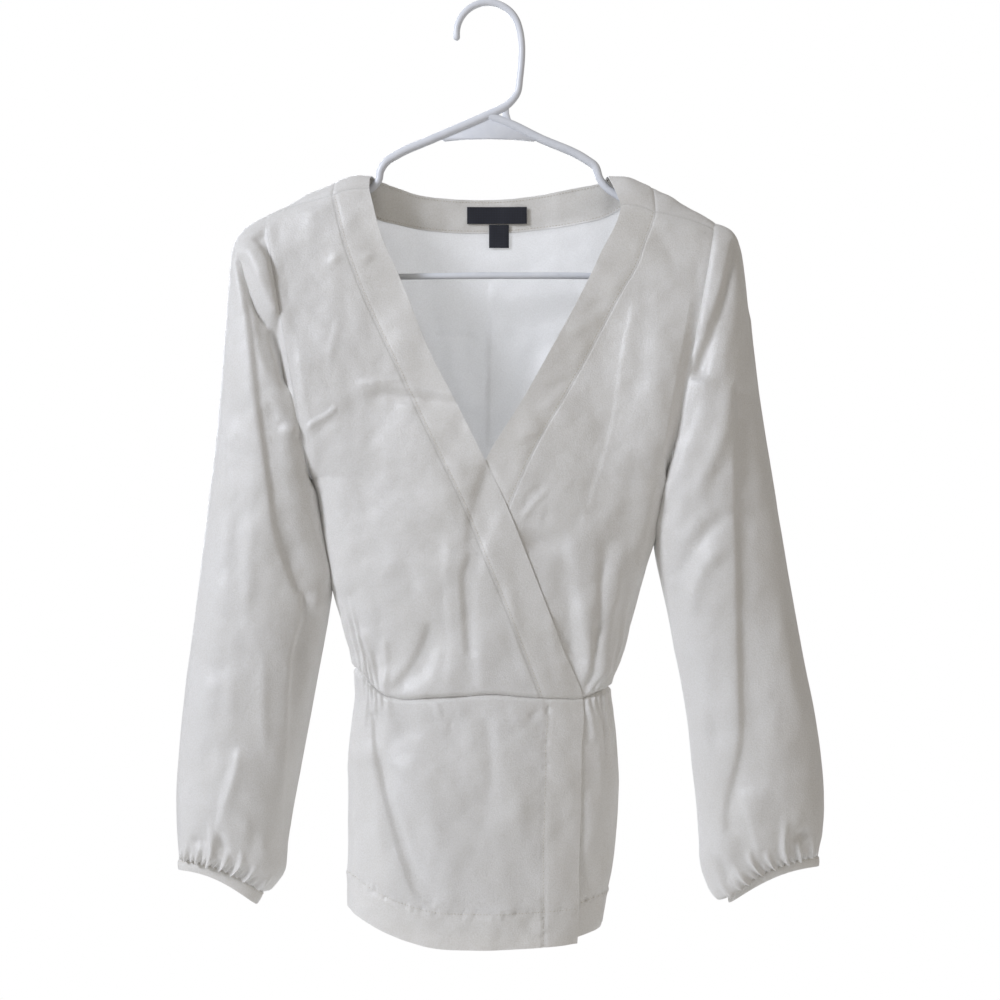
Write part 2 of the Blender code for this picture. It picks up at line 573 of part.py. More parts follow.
def bodice_back(name, material):
    """The back: two straps over the shoulders, and the rest from there down to the waist seam."""
    neck = np.array(NECK_BACK)[:, :2]
    right, down = side_rows(-1, WAIST_BACK, 1)
    left, _ = side_rows(1, WAIST_BACK, 1)
    cut = STRAP_ROWS
    seam_r, seam_l = shoulder_seam(-1), shoulder_seam(1)[::-1]
    t = np.linspace(0, 1, len(seam_r))[:, None]
    foot_r = right[cut] * (1 - t) + neck[cut] * t
    foot_l = neck[-1 - cut] * (1 - t) + left[cut] * t
    share = np.linspace(0, 1, cut + 1)
    strap_r = patch(seam_r, foot_r, right[:cut + 1], neck[:cut + 1], share)
    strap_l = patch(seam_l, foot_l, neck[::-1][:cut + 1], left[:cut + 1], share)
    x = back_stations()
    bottom = np.stack([x, reach_at(x, smooth(WAIST_BACK, x))], -1)
    top = np.concatenate([foot_r, neck[cut + 1:-1 - cut], foot_l])
    rest = (down[cut:] - down[cut]) / (1 - down[cut])
    main = patch(top, bottom, right[cut:], left[cut:], rest)

    rows, columns = main.shape[:2]
    wide = len(seam_r)
    grid = np.arange(rows * columns).reshape(rows, columns)
    size = cut * wide
    upper_r = grid.size + np.arange(size).reshape(cut, wide)
    upper_l = upper_r + size
    grids = [grid, np.vstack([upper_r, grid[0, :wide]]), np.vstack([upper_l, grid[0, -wide:]])]
    places = np.concatenate([g.reshape(-1, 2) for g in (main, strap_r[:-1], strap_l[:-1])])
    x, reach = places.T
    points, normals = on_form(x, height_at(x, reach), np.where(reach < 0, -1, 1))

    edge_r = np.concatenate([upper_r[:, 0], grid[:, 0]])
    edge_l = np.concatenate([upper_l[:, -1], grid[:, -1]])
    normals[edge_r] = edge_normals(points[edge_r], normals[edge_r], -1, 1)
    normals[edge_l] = edge_normals(points[edge_l], normals[edge_l], 1, 1)
    normals[grid[-1], 2] = 0
    normals = unit(normals)
    away = points[grid, 2] - smooth(WAIST_BACK, main[..., 0])
    lift = gather_lift(columns - 1, GATHERS["back"][0], away)
    lift = lift + gather_lift(columns - 1, GATHERS["back"][0], away, from_last=True)
    points[grid] += normals[grid] * lift[..., None]

    middle = grid[:2, wide:-wide]
    neck_line = np.concatenate([upper_r[:, -1], [grid[0, wide - 1]], middle[0],
                                [grid[0, -wide]], upper_l[::-1, 0]])
    neck_inside = np.concatenate([upper_r[:, -2], [grid[1, wide - 2]], middle[1],
                                  [grid[1, 1 - wide]], upper_l[::-1, 1]])
    for line, inside in (
        (grid[-1], grid[-2]),
        (upper_r[0], upper_r[1]),
        (upper_l[0], upper_l[1]),
        (edge_r, np.concatenate([upper_r[:, 1], grid[:, 1]])),
        (edge_l, np.concatenate([upper_l[:, -2], grid[:, -2]])),
        (neck_line, neck_inside),
    ):
        draw_back(points, normals, line, inside)
    return solid(name, *wall(points, normals, grids, CLOTH), material)


def back_stations():
    """Places along the back's waist seam, one for each column of the back."""
    columns = len(NECK_BACK) - 1 - 2 * STRAP_ROWS + 2 * (len(SHOULDER_SEAM[1]) - 1)
    half = columns // 2
    right = seam_stations(WAIST_BACK, 1, -1, "back", 0.0, half)
    left = seam_stations(WAIST_BACK, 1, 1, "back", 0.0, columns - half)
    return np.concatenate([right, left[::-1][1:]])


# The peplum --------------------------------------------------------------------------------------


def peplum(name, side, top_x, waist, hem, ends, gathered, material):
    """A peplum piece from the waist seam to the hem.

    An end is its side seam's hand, or 0 for a free edge, and a function from a height to x.
    """
    down = np.array(PEPLUM_ROWS)
    edges = []
    for _, at in ends:
        start, stop = float(smooth(waist, at(WAIST_SIDE))), float(smooth(hem, at(HEM_HEIGHT)))
        z = start + (stop - start) * down
        edges.append(np.stack([at(z), z], -1))
    top = np.stack([top_x, smooth(waist, top_x)], -1)
    first, last = edges
    first[0], last[0] = top[0], top[-1]
    x = hem_stations(side, hem, first[-1, 0], last[-1, 0], len(top_x))
    bottom = np.stack([x, smooth(hem, x)], -1)
    first[-1], last[-1] = bottom[0], bottom[-1]
    places = patch(top, bottom, first, last, down)
    x, z = places[..., 0], places[..., 1]
    points, normals = on_form(x, z, side)
    seams = ["top"]
    for seam, column, (hand, _) in zip(("first", "last"), (0, -1), ends):
        if hand:
            normals[:, column] = (hand, 0, 0)
            seams.append(seam)
    normals[0, :, 2] = 0
    normals = unit(normals)
    away = smooth(waist, x) - z
    lift = np.zeros(x.shape)
    for kind, from_last in gathered:
        lift = lift + gather_lift(len(top_x) - 1, GATHERS[kind][0], away, from_last)
    inside = np.zeros(lift.shape)
    inside[1:, 1:-1] = 1
    lift = lift + fold_heights(name, x, z) * inside
    if name == "peplum_front_left":
        lift = lift + under_lap(x, z)
    points = points + normals * lift[..., None]
    trim(points, normals, seams)
    return solid(name, *wall(points, normals, [numbers(points)], CLOTH), material)


def hem_stations(side, hem, start_x, end_x, count):
    """Places evenly spread along a hem."""
    t = (1 - np.cos(np.linspace(0, math.pi, SAMPLES))) / 2
    x = start_x + (end_x - start_x) * t
    length = length_along(on_form(x, smooth(hem, x), side)[0])
    return np.interp(np.linspace(0, length[-1], count), length, x)


def front_waist_x(hand):
    """Places along a front's waist seam, over its bodice and its neck band."""
    seam, edge = front_seams(hand)
    kind = "over" if hand < 0 else "under"
    bodice = seam_stations(WAIST_FRONT, -1, hand, kind, seam[-1, 0], FRONT_COLUMNS)
    band = np.linspace(seam[-1, 0], edge[-1, 0], BAND_COLUMNS + 1)
    return np.concatenate([bodice, band[1:]])


# Sleeves and cuffs -------------------------------------------------------------------------------


def ring_points(row, angles):
    """A ring of a sleeve or a cuff; the angle is nothing at its outer end and grows in front."""
    outer, inner, depth = np.array(row[:2], float), np.array(row[2:4], float), row[4]
    share = (1 - np.cos(angles)) / 2
    place = outer + (inner - outer) * share[:, None]
    height = place[:, 1] + row[5] * np.sin(angles) ** 2
    return np.stack([place[:, 0], -depth * np.sin(angles), height], -1)


def plane_directions(ring, across):
    """Directions out of a ring that stay in the plane to which across is square."""
    tangent = np.roll(ring, -1, axis=0) - np.roll(ring, 1, axis=0)
    out = unit(np.cross(tangent, across))
    if np.sum(out * (ring - ring.mean(axis=0))) < 0:
        out = -out
    return out


def sleeve(name, hand, rows, material):
    """A sleeve from its armhole to its cuff seam, gathered at the cuff."""
    angles = np.linspace(0, 2 * math.pi, SLEEVE_COLUMNS, endpoint=False)
    points = np.array([ring_points(row, angles) for row in rows])
    armhole = points[0].copy()
    front = np.where(np.sin(angles) >= 0, -1, 1)
    half = np.sqrt(depth_squared(armhole[:, 0], armhole[:, 2]))
    half[0] = half[SLEEVE_COLUMNS // 2] = 0
    own = np.abs(armhole[:, 1])
    for k, blend in enumerate(HEAD_BLEND):
        wide = own * rows[k][4] / rows[0][4]
        points[k, :, 1] = front * (half * (1 - blend) + wide * blend)
    across = unit(np.array([1.0, 0.0, -ARM_PLANE[hand][2]]))
    low = ease(np.abs(armhole[:, 2] - UNDERARM), UNDERARM_BLEND, 0)[:, None]
    points[0] += hand * across * (SEAM_GAP / 2 + low * UNDERARM_CLEAR)
    ring = np.roll(points, -1, axis=1) - np.roll(points, 1, axis=1)
    along = np.gradient(points, axis=0)
    normals = unit(np.cross(ring, along))
    middle = points.mean(axis=1, keepdims=True)
    if np.sum(normals * (points - middle)) < 0:
        normals = -normals
    in_plane = plane_directions(points[0], across)
    normals[0] = unit(in_plane * (1 - low) - hand * across * low)
    cuff_axis = cuff_direction(rows[-1])
    normals[-1] = plane_directions(points[-1], cuff_axis)
    ridge = np.where(np.arange(SLEEVE_COLUMNS) % 2, -1.0, 1.0)
    lift = np.array([row[6] for row in rows])[:, None] * ridge
    fold = fold_heights(name, points[..., 0], points[..., 2]) * np.sin(angles).clip(0) ** 0.5
    fold[0] = fold[-1] = 0
    points = points + normals * (lift + fold)[..., None]
    points[-1] -= cuff_axis * SEAM_GAP / 2
    return solid(name, *wall(points, normals, [numbers(points, closed=True)], CLOTH), material)


def cuff_direction(row):
    """The way down a wrist, square to the cuff seam."""
    along = unit(np.array([row[2] - row[0], 0.0, row[3] - row[1]]))
    down = np.cross(along, np.array([0.0, 1.0, 0.0]))
    return down if down[2] < 0 else -down


def cuff(name, seam, hem, material):
    """A narrow cuff between the sleeve's last ring and its own lower ring."""
    angles = np.linspace(0, 2 * math.pi, SLEEVE_COLUMNS, endpoint=False)
    axis = cuff_direction(seam)
    points = np.array([ring_points(seam, angles), ring_points(hem, angles)])
    normals = np.array([plane_directions(points[0], axis)] * 2)
    points[0] += axis * SEAM_GAP / 2
    return solid(name, *wall(points, normals, [numbers(points, closed=True)], BAND), material)


# Labels ------------------------------------------------------------------------------------------


def label(name, spec, material):
    """A woven label that lies on the inside of the back."""
    middle, top, width, height = spec
    x = np.linspace(middle - width / 2, middle + width / 2, 5)[None, :]
    z = np.linspace(top, top - height, 3)[:, None]
    points, normals = on_form(x, z, 1)
    inwards = BAND / 2 + LABEL_CLEAR + LABEL_WALL / 2
    points = points - normals * inwards
    return solid(name, *wall(points, normals, [numbers(points)], LABEL_WALL), material)


# The hanger --------------------------------------------------------------------------------------


def tube(name, path, material):
    """A tube with a radius at each place x and z of its path, closed at both ends."""
    path = np.array(path, float)
    centre = np.stack([path[:, 0], np.zeros(len(path)), path[:, 1]], -1)
    ahead = unit(np.gradient(centre, axis=0))
    beside = np.array([0.0, 1.0, 0.0])
    angles = np.linspace(0, 2 * math.pi, TUBE_SIDES, endpoint=False) + math.pi / TUBE_SIDES
    rings = []
    for point, way, radius in zip(centre, ahead, path[:, 2]):
        out = np.cross(way, beside)
        round_it = np.outer(np.cos(angles), out) + np.outer(np.sin(angles), beside)
        rings.append(point + radius * round_it)
    number = numbers(np.array(rings), closed=True)
    faces = []
    for i in range(len(path) - 1):
        faces += strip(number[i], number[i + 1])
    faces.append(tuple(reversed(number[0, :-1])))
    faces.append(tuple(number[-1, :-1]))
    return solid(name, np.concatenate(rings), faces, material)


def plate(name, outline, material):
    """A flat web of the hanger between its tubes."""
    count = len(outline)
    corners = [(x, y, z) for y in (-WEB_WALL / 2, WEB_WALL / 2) for x, z in outline]
    faces = [tuple(range(count)), tuple(reversed(range(count, 2 * count)))]
    faces += [(i, (i + 1) % count, count + (i + 1) % count, count + i) for i in range(count)]
    faces = [tuple(reversed(f)) if n > 1 else f for n, f in enumerate(faces)]
    return solid(name, np.array(corners), faces, material)


def hanger(name, material):
    """The hook, the two arms with their strap notches, the bar and the webs, in one piece."""
    hook = []
    for k in range(HOOK_STEPS + 1):
        turn = math.radians(HOOK_START + HOOK_SWEEP * k / HOOK_STEPS)
        x, z = -HOOK_RADIUS * math.cos(turn), HOOK_RADIUS * (math.sin(turn) - 1)
        hook.append((x, z, TUBE))
    body = tube(name, hook + list(SHANK_AND_ARM), material)
    others = (
        tube("arm_cutter", OTHER_ARM, material),
        plate("web_under_cutter", WEB_UNDER, material),
        plate("web_beside_cutter", WEB_BESIDE, material),
    )
    for other in others:
        join = body.modifiers.new(other.name, "BOOLEAN")
        join.operation = "UNION"
        join.solver = "EXACT"
        join.object = other
        other.hide_render = True
        other.display_type = "WIRE"
    return body


# Materials and the whole -------------------------------------------------------------------------


def material_of(name, colour, roughness):
    """A plain surface with a colour and a roughness."""
    material = bpy.data.materials.new(name)
    material.use_nodes = True
    shader = material.node_tree.nodes["Principled BSDF"]
    shader.inputs["Base Color"].default_value = (*colour, 1)
    shader.inputs["Roughness"].default_value = roughness
    shader.inputs["Metallic"].default_value = 0
    return material


def main():
    for item in list(bpy.data.objects):
        bpy.data.objects.remove(item, do_unlink=True)
    crepe = material_of("ivory_crepe", (0.80, 0.77, 0.71), 0.62)
    plastic = material_of("white_plastic", (0.80, 0.82, 0.86), 0.35)
    woven = material_of("navy_woven_label", (0.012, 0.015, 0.032), 0.7)

    hanger("hanger", plastic)
    bodice_back("bodice_back", crepe)
    bodice_front("bodice_front_right", -1, crepe)
    bodice_front("bodice_front_left", 1, crepe)
    neckband_back("neckband_back", crepe)
    neckband_front("neckband_right", -1, crepe)
    neckband_front("neckband_left", 1, crepe)

    right_side = (-1, lambda z: side_x(-1, np.asarray(z, float)))
    left_side = (1, lambda z: side_x(1, np.asarray(z, float)))
    over_edge = (0, lambda z: smooth(LAP_EDGE, z))
    under_edge = (0, lambda z: smooth(UNDER_EDGE, z))
    peplum("peplum_back", 1, back_stations(), WAIST_BACK, HEM_BACK,
           (right_side, left_side), (("back", False), ("back", True)), crepe)
    peplum("peplum_front_right", -1, front_waist_x(-1), WAIST_FRONT, HEM_OVER,
           (right_side, over_edge), (("over", False),), crepe)
    peplum("peplum_front_left", -1, front_waist_x(1), WAIST_FRONT, HEM_UNDER,
           (left_side, under_edge), (("under", False),), crepe)

    sleeve("sleeve_right", -1, SLEEVE_RIGHT, crepe)
    sleeve("sleeve_left", 1, SLEEVE_LEFT, crepe)
    cuff("cuff_right", SLEEVE_RIGHT[-1], CUFF_RIGHT, crepe)
    cuff("cuff_left", SLEEVE_LEFT[-1], CUFF_LEFT, crepe)
    label("label_main", LABEL_MAIN, woven)
    label("label_size", LABEL_SIZE, woven)


main()
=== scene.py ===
"""The looks of a long-sleeved wrap top in ivory crepe, hung on a white plastic tube hanger.

Tables and lengths are in millimetres, and meshes are made in metres, with +Z up. The front faces -Y
and the wearer's right is -X. The origin is the middle of the hook's tube at its highest point.

The cloth lies on one form, worked out from the same sizes as the solids. Each piece is a fine grid
on that form. Folds, gathers and seams lift it, and a thin wall is built about it.
"""

import math

import bpy
import numpy as np
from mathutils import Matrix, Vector, noise


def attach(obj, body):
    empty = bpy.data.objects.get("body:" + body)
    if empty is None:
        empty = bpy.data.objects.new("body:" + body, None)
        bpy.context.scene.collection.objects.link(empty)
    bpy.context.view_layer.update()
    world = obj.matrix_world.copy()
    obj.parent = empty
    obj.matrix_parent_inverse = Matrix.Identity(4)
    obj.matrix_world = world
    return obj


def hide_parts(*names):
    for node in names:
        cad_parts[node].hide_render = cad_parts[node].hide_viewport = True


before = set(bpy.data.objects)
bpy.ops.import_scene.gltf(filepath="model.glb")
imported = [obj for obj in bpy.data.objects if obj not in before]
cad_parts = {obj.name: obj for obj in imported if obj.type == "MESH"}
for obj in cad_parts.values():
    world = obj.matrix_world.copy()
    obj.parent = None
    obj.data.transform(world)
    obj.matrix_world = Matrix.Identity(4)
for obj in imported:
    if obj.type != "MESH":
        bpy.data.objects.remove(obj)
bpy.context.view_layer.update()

MM = 0.001

# Cloth
CREPE_WALL = 0.5  # one layer
DOUBLE_WALL = 0.8  # a band, hem or placket, which is two or three layers
# Seams, where the cloth turns in: how deep and how wide each groove is
SEAMS = {
    "shoulder": (0.6, 1.3), "armhole": (0.3, 2.0), "band": (0.4, 1.0), "waist": (1.6, 1.5),
    "side": (0.5, 1.5), "neck": (0.6, 1.2), "cuff": (0.5, 0.9),
}
HEM_WIDTH = 29.0
PLACKET_WIDTH = 31.0
TURN_EDGE = 1.5  # over which the doubled cloth thins to one layer

PUCKER = 1.9  # how high a hem's stitching makes it wave
PLACKET_PUCKER = 0.6  # and a placket's, as a share of that
PUCKER_WIDTH = 3.6
PUCKER_LENGTH = 3.6

# Stitches
STITCH_PITCH = 2.7
STITCH_LENGTH = 2.0
STITCH_WIDTH = 0.7
STITCH_RISE = 0.4  # how far a stitch stands out of the cloth
STITCH_SIDES = 5
STITCH_TAPER = 0.2  # the share of its length over which each of its ends narrows
STITCH_STAND = 0.6  # how far its middle is out of the cloth, as a share of half its rise
TOPSTITCH = 2.2  # beside a seam
CUFF_TOPSTITCH = 1.6
GROOVE = 0.9  # how deep a row of stitches pulls the cloth in
GROOVE_WIDTH = 1.0
SHARP = math.radians(55)  # edges that turn more than this look sharp
# How far from each seam folds and swellings begin, and where they have come to their full height
RISE = {
    "shoulder": (0, 12), "waist": (0, 4), "side": (0, 7), "front side": (1, 11), "strap": (0, 9),
    "sleeve head": (0, 2.5), "cuff": (0, 6),
}

# The form
LAP_DROP = (  # height, how far behind
    (-150, 1.0), (-600, 1.0), (-650, 1.0), (-690, 1.2), (-738, 3.0), (-790, 3.4),
)
LAP_RAMP = (4.0, 30.0)
LAP_BLEND = (-4.0, 8.0)  # beside the lap edge, from the folds of the front above to its own
CREST = 8.0
SHOULDER_RADIUS = 5.5
NECK_RADIUS = 22.0
NECK_HALF = 100.0
SIDE_POWER = 2.6
UNDERARM = -397.1
UNDERARM_SCOOP = 120.0
UNDERARM_JOIN = 14.0  # the armhole's line goes over into the side seam in so much
ARMHOLE_DEPTH = 38.0
SCOOP_POWER = 2.4
SIDE_CLEAR = 0.6
SLOPE_STEP = 0.4
UNDERARM_STEP = 9.0  # the slope changes at the underarm, so it is taken over so much more there
UNDERARM_NEAR = (12, 30)  # and less and less from the first of these to the second
WAIST_SIDE = -565.0
WAIST_MIDDLE = -577.0
HEM_HEIGHT = -770.0
SAMPLES = 400

# The armholes lie in planes seen edge on from the front: x at a height, and x gained per height.
ARM_PLANE = {-1: (-185.4, -180.0, -0.1748), 1: (188.7, -186.7, 0.1911)}

# Heights of the cloth's top edge: x, z
SHOULDER_LINE = (
    (-225, -210), (-205, -190), (-185.4, -178.8), (-168, -170.8), (-146, -159.3), (-125, -148.2),
    (-112, -145.2), (-98.5, -144.5), (-70, -138), (-35, -132), (0, -130), (35, -132),
    (70, -138.5), (97.7, -145), (119.4, -147.8), (141, -157.5), (166, -171), (192, -185.9),
    (207, -196), (230, -215),
)
# The body: height, the wearer's right side x, the left side x, half depth
BODY = (
    (-100, -200, 200, 34), (-160, -190, 190, 36), (-220, -180, 180, 40), (-300, -165, 168, 44),
    (-397, -146.5, 147.5, 47), (-449, -137.4, 137.6, 46), (-490, -130.2, 127, 44),
    (-524, -119.5, 117, 41), (-545, -113, 108.5, 39), (-560, -109.5, 102.5, 38),
    (-575, -110.5, 100.5, 38), (-592, -113, 104.5, 39), (-632, -115.5, 108.5, 43),
    (-664, -116.5, 109, 46), (-698, -116.9, 106.5, 48), (-752, -117, 98, 51), (-790, -116, 92, 52),
)
# The lap edge of the over front, the neck edge of the under front, and the neck bands' seams:
# height, x
LAP_EDGE = (
    (-130, -100.5), (-145, -100), (-157.1, -98.5), (-167.1, -96), (-194.5, -89), (-229, -74.6),
    (-247.5, -67), (-295.4, -47.2), (-334, -26.7), (-381.3, -3), (-414.7, 13.3), (-448, 27),
    (-490, 43.5), (-538.7, 62.2), (-578, 78), (-620, 77), (-690, 75.8), (-738, 75), (-790, 73.3),
)
UNDER_EDGE = (
    (-150, 100), (-159.8, 107), (-172.3, 110), (-182.5, 107.5), (-211.5, 93), (-230.8, 84),
    (-283.9, 56), (-334, 27.9), (-382.1, -1.4), (-414.7, -15), (-450, -27), (-540, -60),
    (-580, -75), (-790, -80),
)
OVER_BAND_SEAM = (
    (-150, -129.5), (-163.7, -128.8), (-180, -125), (-198, -120.5), (-243, -104.5),
    (-269, -93), (-303.6, -76.5), (-331.6, -63.3), (-380, -39.5), (-414.7, -22.5),
    (-450.5, -7.5), (-510, 17), (-580, 44),
)
UNDER_BAND_SEAM = (
    (-155, 140.5), (-177, 138.8), (-190, 134.8), (-201, 130.3), (-221.5, 123.4), (-243, 111),
    (-274, 94.3), (-317.6, 71.2), (-365.8, 42.6), (-414.7, 20), (-450, 6), (-540, -25),
    (-580, -39),
)
BAND_LAG = 10.0
# The waist seam and the hem: x, z
WAIST_FRONT = (
    (-112, -553), (-108.6, -555), (-104, -558), (-99, -562.5), (-93.8, -569.2), (-87.3, -575),
    (-74.2, -578.6), (-45, -577.5), (-16, -575.8), (2, -574.5), (33, -577), (60, -578.5),
    (78, -578.6), (92, -574), (102.2, -570), (106, -569),
)
WAIST_BACK = (
    (-112, -553), (-108.6, -555), (-95, -563), (-75, -571), (-40, -575.5), (0, -576.5),
    (40, -577), (75, -575.5), (102.2, -570), (106, -569),
)
HEM_OVER = (
    (-125, -752), (-117, -753), (-101, -760.5), (-80.5, -769.5), (-48, -778.5), (-8, -780.5),
    (42, -779.5), (73.5, -778.7), (90, -778),
)
HEM_UNDER = (
    (-90, -757), (-55, -767), (-10, -772), (40, -772.5), (74.4, -774.5), (90, -771), (102, -767.5),
)
HEM_BACK = ((-125, -752), (-117, -753), (-80, -765), (0, -773), (70, -772), (98, -767.5))

# The back neck band, paired across: seam x and reach over the shoulder, upper edge x and reach
NECK_BACK = (
    (-128.8, -18.9, -98.5, -18.2), (-127.5, -3, -98, -5), (-122, 13, -95, 5),
    (-111, 28, -86, 13), (-95.5, 41, -74, 21), (-78, 50, -60, 28.5), (-60, 57.5, -46, 33),
    (-40, 63, -31, 36), (-20, 65.8, -15, 37.8), (0, 66.5, 0, 38.3), (20, 65.3, 16, 37.2),
    (40, 61.5, 32, 34.5), (60, 55.7, 48, 30), (80, 48, 63, 24), (99, 39, 78, 18.2),
    (116, 27.5, 90, 13), (129.5, 13, 97.5, 7), (137, -5, 101.5, -8), (138.8, -26.8, 110, -32),
)
STRAP_ROWS = 4
SHOULDER_BLEND = 40.0  # below its top, over which a front band takes up the shoulder's curve
# The shoulder seams, from the armhole to the neck band's seam: x, reach
SHOULDER_SEAM = {
    -1: ((-185.3, -4.5), (-174, -5), (-163, -7), (-152, -10.5), (-140, -15), (-128.8, -18.9)),
    1: ((188.8, -12.5), (179, -14), (169, -16.5), (159, -20), (149, -23.5), (138.8, -26.8)),
}
ARMHOLE_ROWS = (0, 0.03, 0.07, 0.13, 0.22, 0.31, 0.4, 0.49, 0.58, 0.67, 0.76, 0.85, 0.93, 1)
SIDE_ROWS = (0.15, 0.3, 0.44, 0.57, 0.69, 0.8, 0.9, 1)
PEPLUM_ROWS = (0, 0.05, 0.12, 0.21, 0.33, 0.48, 0.65, 0.82, 0.94, 1)

# The cloth's grids
PARTS = 10  # fine steps in one step of the tables above
FRONT_COLUMNS = 108
BACK_HALF_COLUMNS = 100
BAND_COLUMNS = 14
CROWDED = (0.92, 0.8)  # from this share on, columns draw together by so much towards a seam

# Gathers at the waist: place along the seam from the side, half width, height, length above, below
WAIST_GATHERS = {
    "over": (
        (2.5, 1.5, 2.5, 30, 34), (7.5, 1.8, 3.1, 64, 22), (12.5, 1.4, 2.2, 22, 46),
        (17.2, 1.9, 3.2, 80, 30), (22.4, 1.5, 2.5, 34, 58), (27.4, 1.8, 2.9, 92, 26),
        (32.8, 1.6, 2.2, 40, 38), (38.6, 2.2, 1.9, 70, 24), (46.0, 2.8, 1.2, 52, 34),
    ),
    "under": (
        (2.4, 1.5, 2.5, 36, 30), (7.0, 1.7, 3.1, 96, 54), (11.8, 1.5, 2.4, 30, 26),
        (16.2, 1.8, 3.2, 112, 70), (21.0, 1.5, 2.5, 44, 34), (25.4, 1.8, 2.7, 84, 48),
        (31.0, 2.2, 2.0, 50, 30),
    ),
    "back": (
        (2.6, 1.6, 2.4, 34, 30), (7.6, 1.8, 2.9, 58, 42), (12.6, 1.6, 2.4, 40, 56),
        (17.8, 2.0, 2.7, 76, 34), (23.6, 2.0, 1.9, 46, 48), (31.0, 2.6, 1.2, 60, 30),
    ),
}

# Sleeve rings: outer x and z, inner x and z, half depth, rise of the front and back
SLEEVE_RIGHT = (
    (-185.4, -178.7, -147.5, -397.1, 38, 0), (-204, -190, -143.2, -412, 38, 0),
    (-213.3, -206.5, -140.2, -428, 37, 0), (-216, -236, -137.2, -445, 36, 0),
    (-219, -280, -133.6, -466, 35, 0), (-223.2, -332, -130.2, -488, 34, 0),
    (-228.8, -385, -132.5, -509, 34, 0), (-235.5, -438, -136.8, -534, 34, 0),
    (-242, -495, -142.8, -566, 35, 0), (-249, -548, -149, -600, 36, 0),
    (-255.2, -600, -156.2, -638, 37, 0), (-258.8, -645, -162.5, -672, 37, 0),
    (-259.6, -680, -167, -700, 35, 1), (-258.6, -701, -169.6, -722, 30, 3),
    (-257.8, -709.5, -178.0, -733.5, 25, 6), (-257.8, -715, -187.5, -742.5, 17, 9),
)
SLEEVE_LEFT = (
    (188.9, -184.8, 148.5, -397.1, 38, 0), (203, -191.5, 143.8, -412, 38, 0),
    (210.3, -204.8, 140.8, -428, 37, 0), (214.5, -231, 138.2, -445, 36, 0),
    (219, -275, 140.2, -465, 35, 0), (226, -329, 145.5, -489, 34, 0),
    (234.2, -380, 150.5, -512, 34, 0), (243, -434, 156, -541, 34, 0),
    (253, -491, 162, -571, 35, 0), (262.8, -545, 167, -602, 36, 0),
    (272, -592, 170.4, -637, 37, 0), (278.6, -637, 174.5, -671, 37, 0),
    (280.2, -668, 176.6, -699, 35, 1), (278.6, -692, 177.8, -719, 30, 3),
    (276.2, -705, 188, -732, 25, 6), (275.2, -712.4, 201.5, -743, 17, 9),
)
SLEEVE_COLUMNS = 256
SLEEVE_PARTS = (10, 9, 12, 16, 18, 14, 12, 12, 12, 12, 12, 14, 16, 12, 8)
HEAD_BLEND = (0.0, 0.35, 0.7, 0.92, 1.0)
UNDERARM_BLEND = 45.0
# Cuffs: the lower ring's outer x and z, inner x and z, half depth, rise
CUFF_RIGHT = (-257.8, -723.6, -193, -752.5, 16.5, 9)
CUFF_LEFT = (275.8, -720.6, 201.5, -751.2, 16.5, 9)
CUFF_ROWS = 10
CUFF_WALL = 1.3
CUFF_ROUND = 0.6
LEAN = 3.0  # how far a sleeve leans over the side of the body below the arm
LEAN_START = (-2, 14)  # how far below the arm it begins to lean, and has come to lean fully
LEAN_INNER = (0.8, 1)  # the share of the way to its inner edge over which it does
LEAN_SEARCH = 15.0  # how far inside the body's outline its side is looked for
HALVINGS = 16  # of that distance, until the side is found
LEAN_END = {-1: (72, 96), 1: (33, 50)}  # and how far below the arm it comes away again
BESIDE = 0.15  # how far off the body it stays
PRESSED_TO = -500.0
UNDERARM_CLEAR = 0.3  # how far the sleeve's lowest point is kept off the side seam
BLOUSE = {-1: 2.0, 1: 8.0}  # how far each sleeve stands out beside its cuff, on the body's side
BLOUSE_REACH = (0, 6, 7, 38)  # above the cuff: full from the second to the third, gone at the last
SAG = 0.4  # it hangs down as well, by this share of that
HEAD_PUFF = 0.4  # how far the sleeve's head stands up beside its seam
PUFF_REACH = (0, 6, 6, 26)
# Each gather at a cuff, over the front half: share of the way across, half width, height, length
CUFF_GATHERS = (
    (0.05, 1.3, 2.9, 18), (0.11, 1.3, 4.2, 26), (0.17, 1.2, 3.0, 15), (0.235, 1.4, 4.8, 34),
    (0.30, 1.3, 3.5, 20), (0.36, 1.4, 5.1, 56), (0.43, 1.2, 3.2, 15), (0.50, 1.4, 4.8, 28),
    (0.57, 1.3, 3.4, 16), (0.635, 1.4, 5.0, 36), (0.70, 1.3, 3.4, 16), (0.77, 1.4, 4.5, 26),
    (0.84, 1.3, 3.2, 16), (0.92, 1.5, 3.8, 24),
)

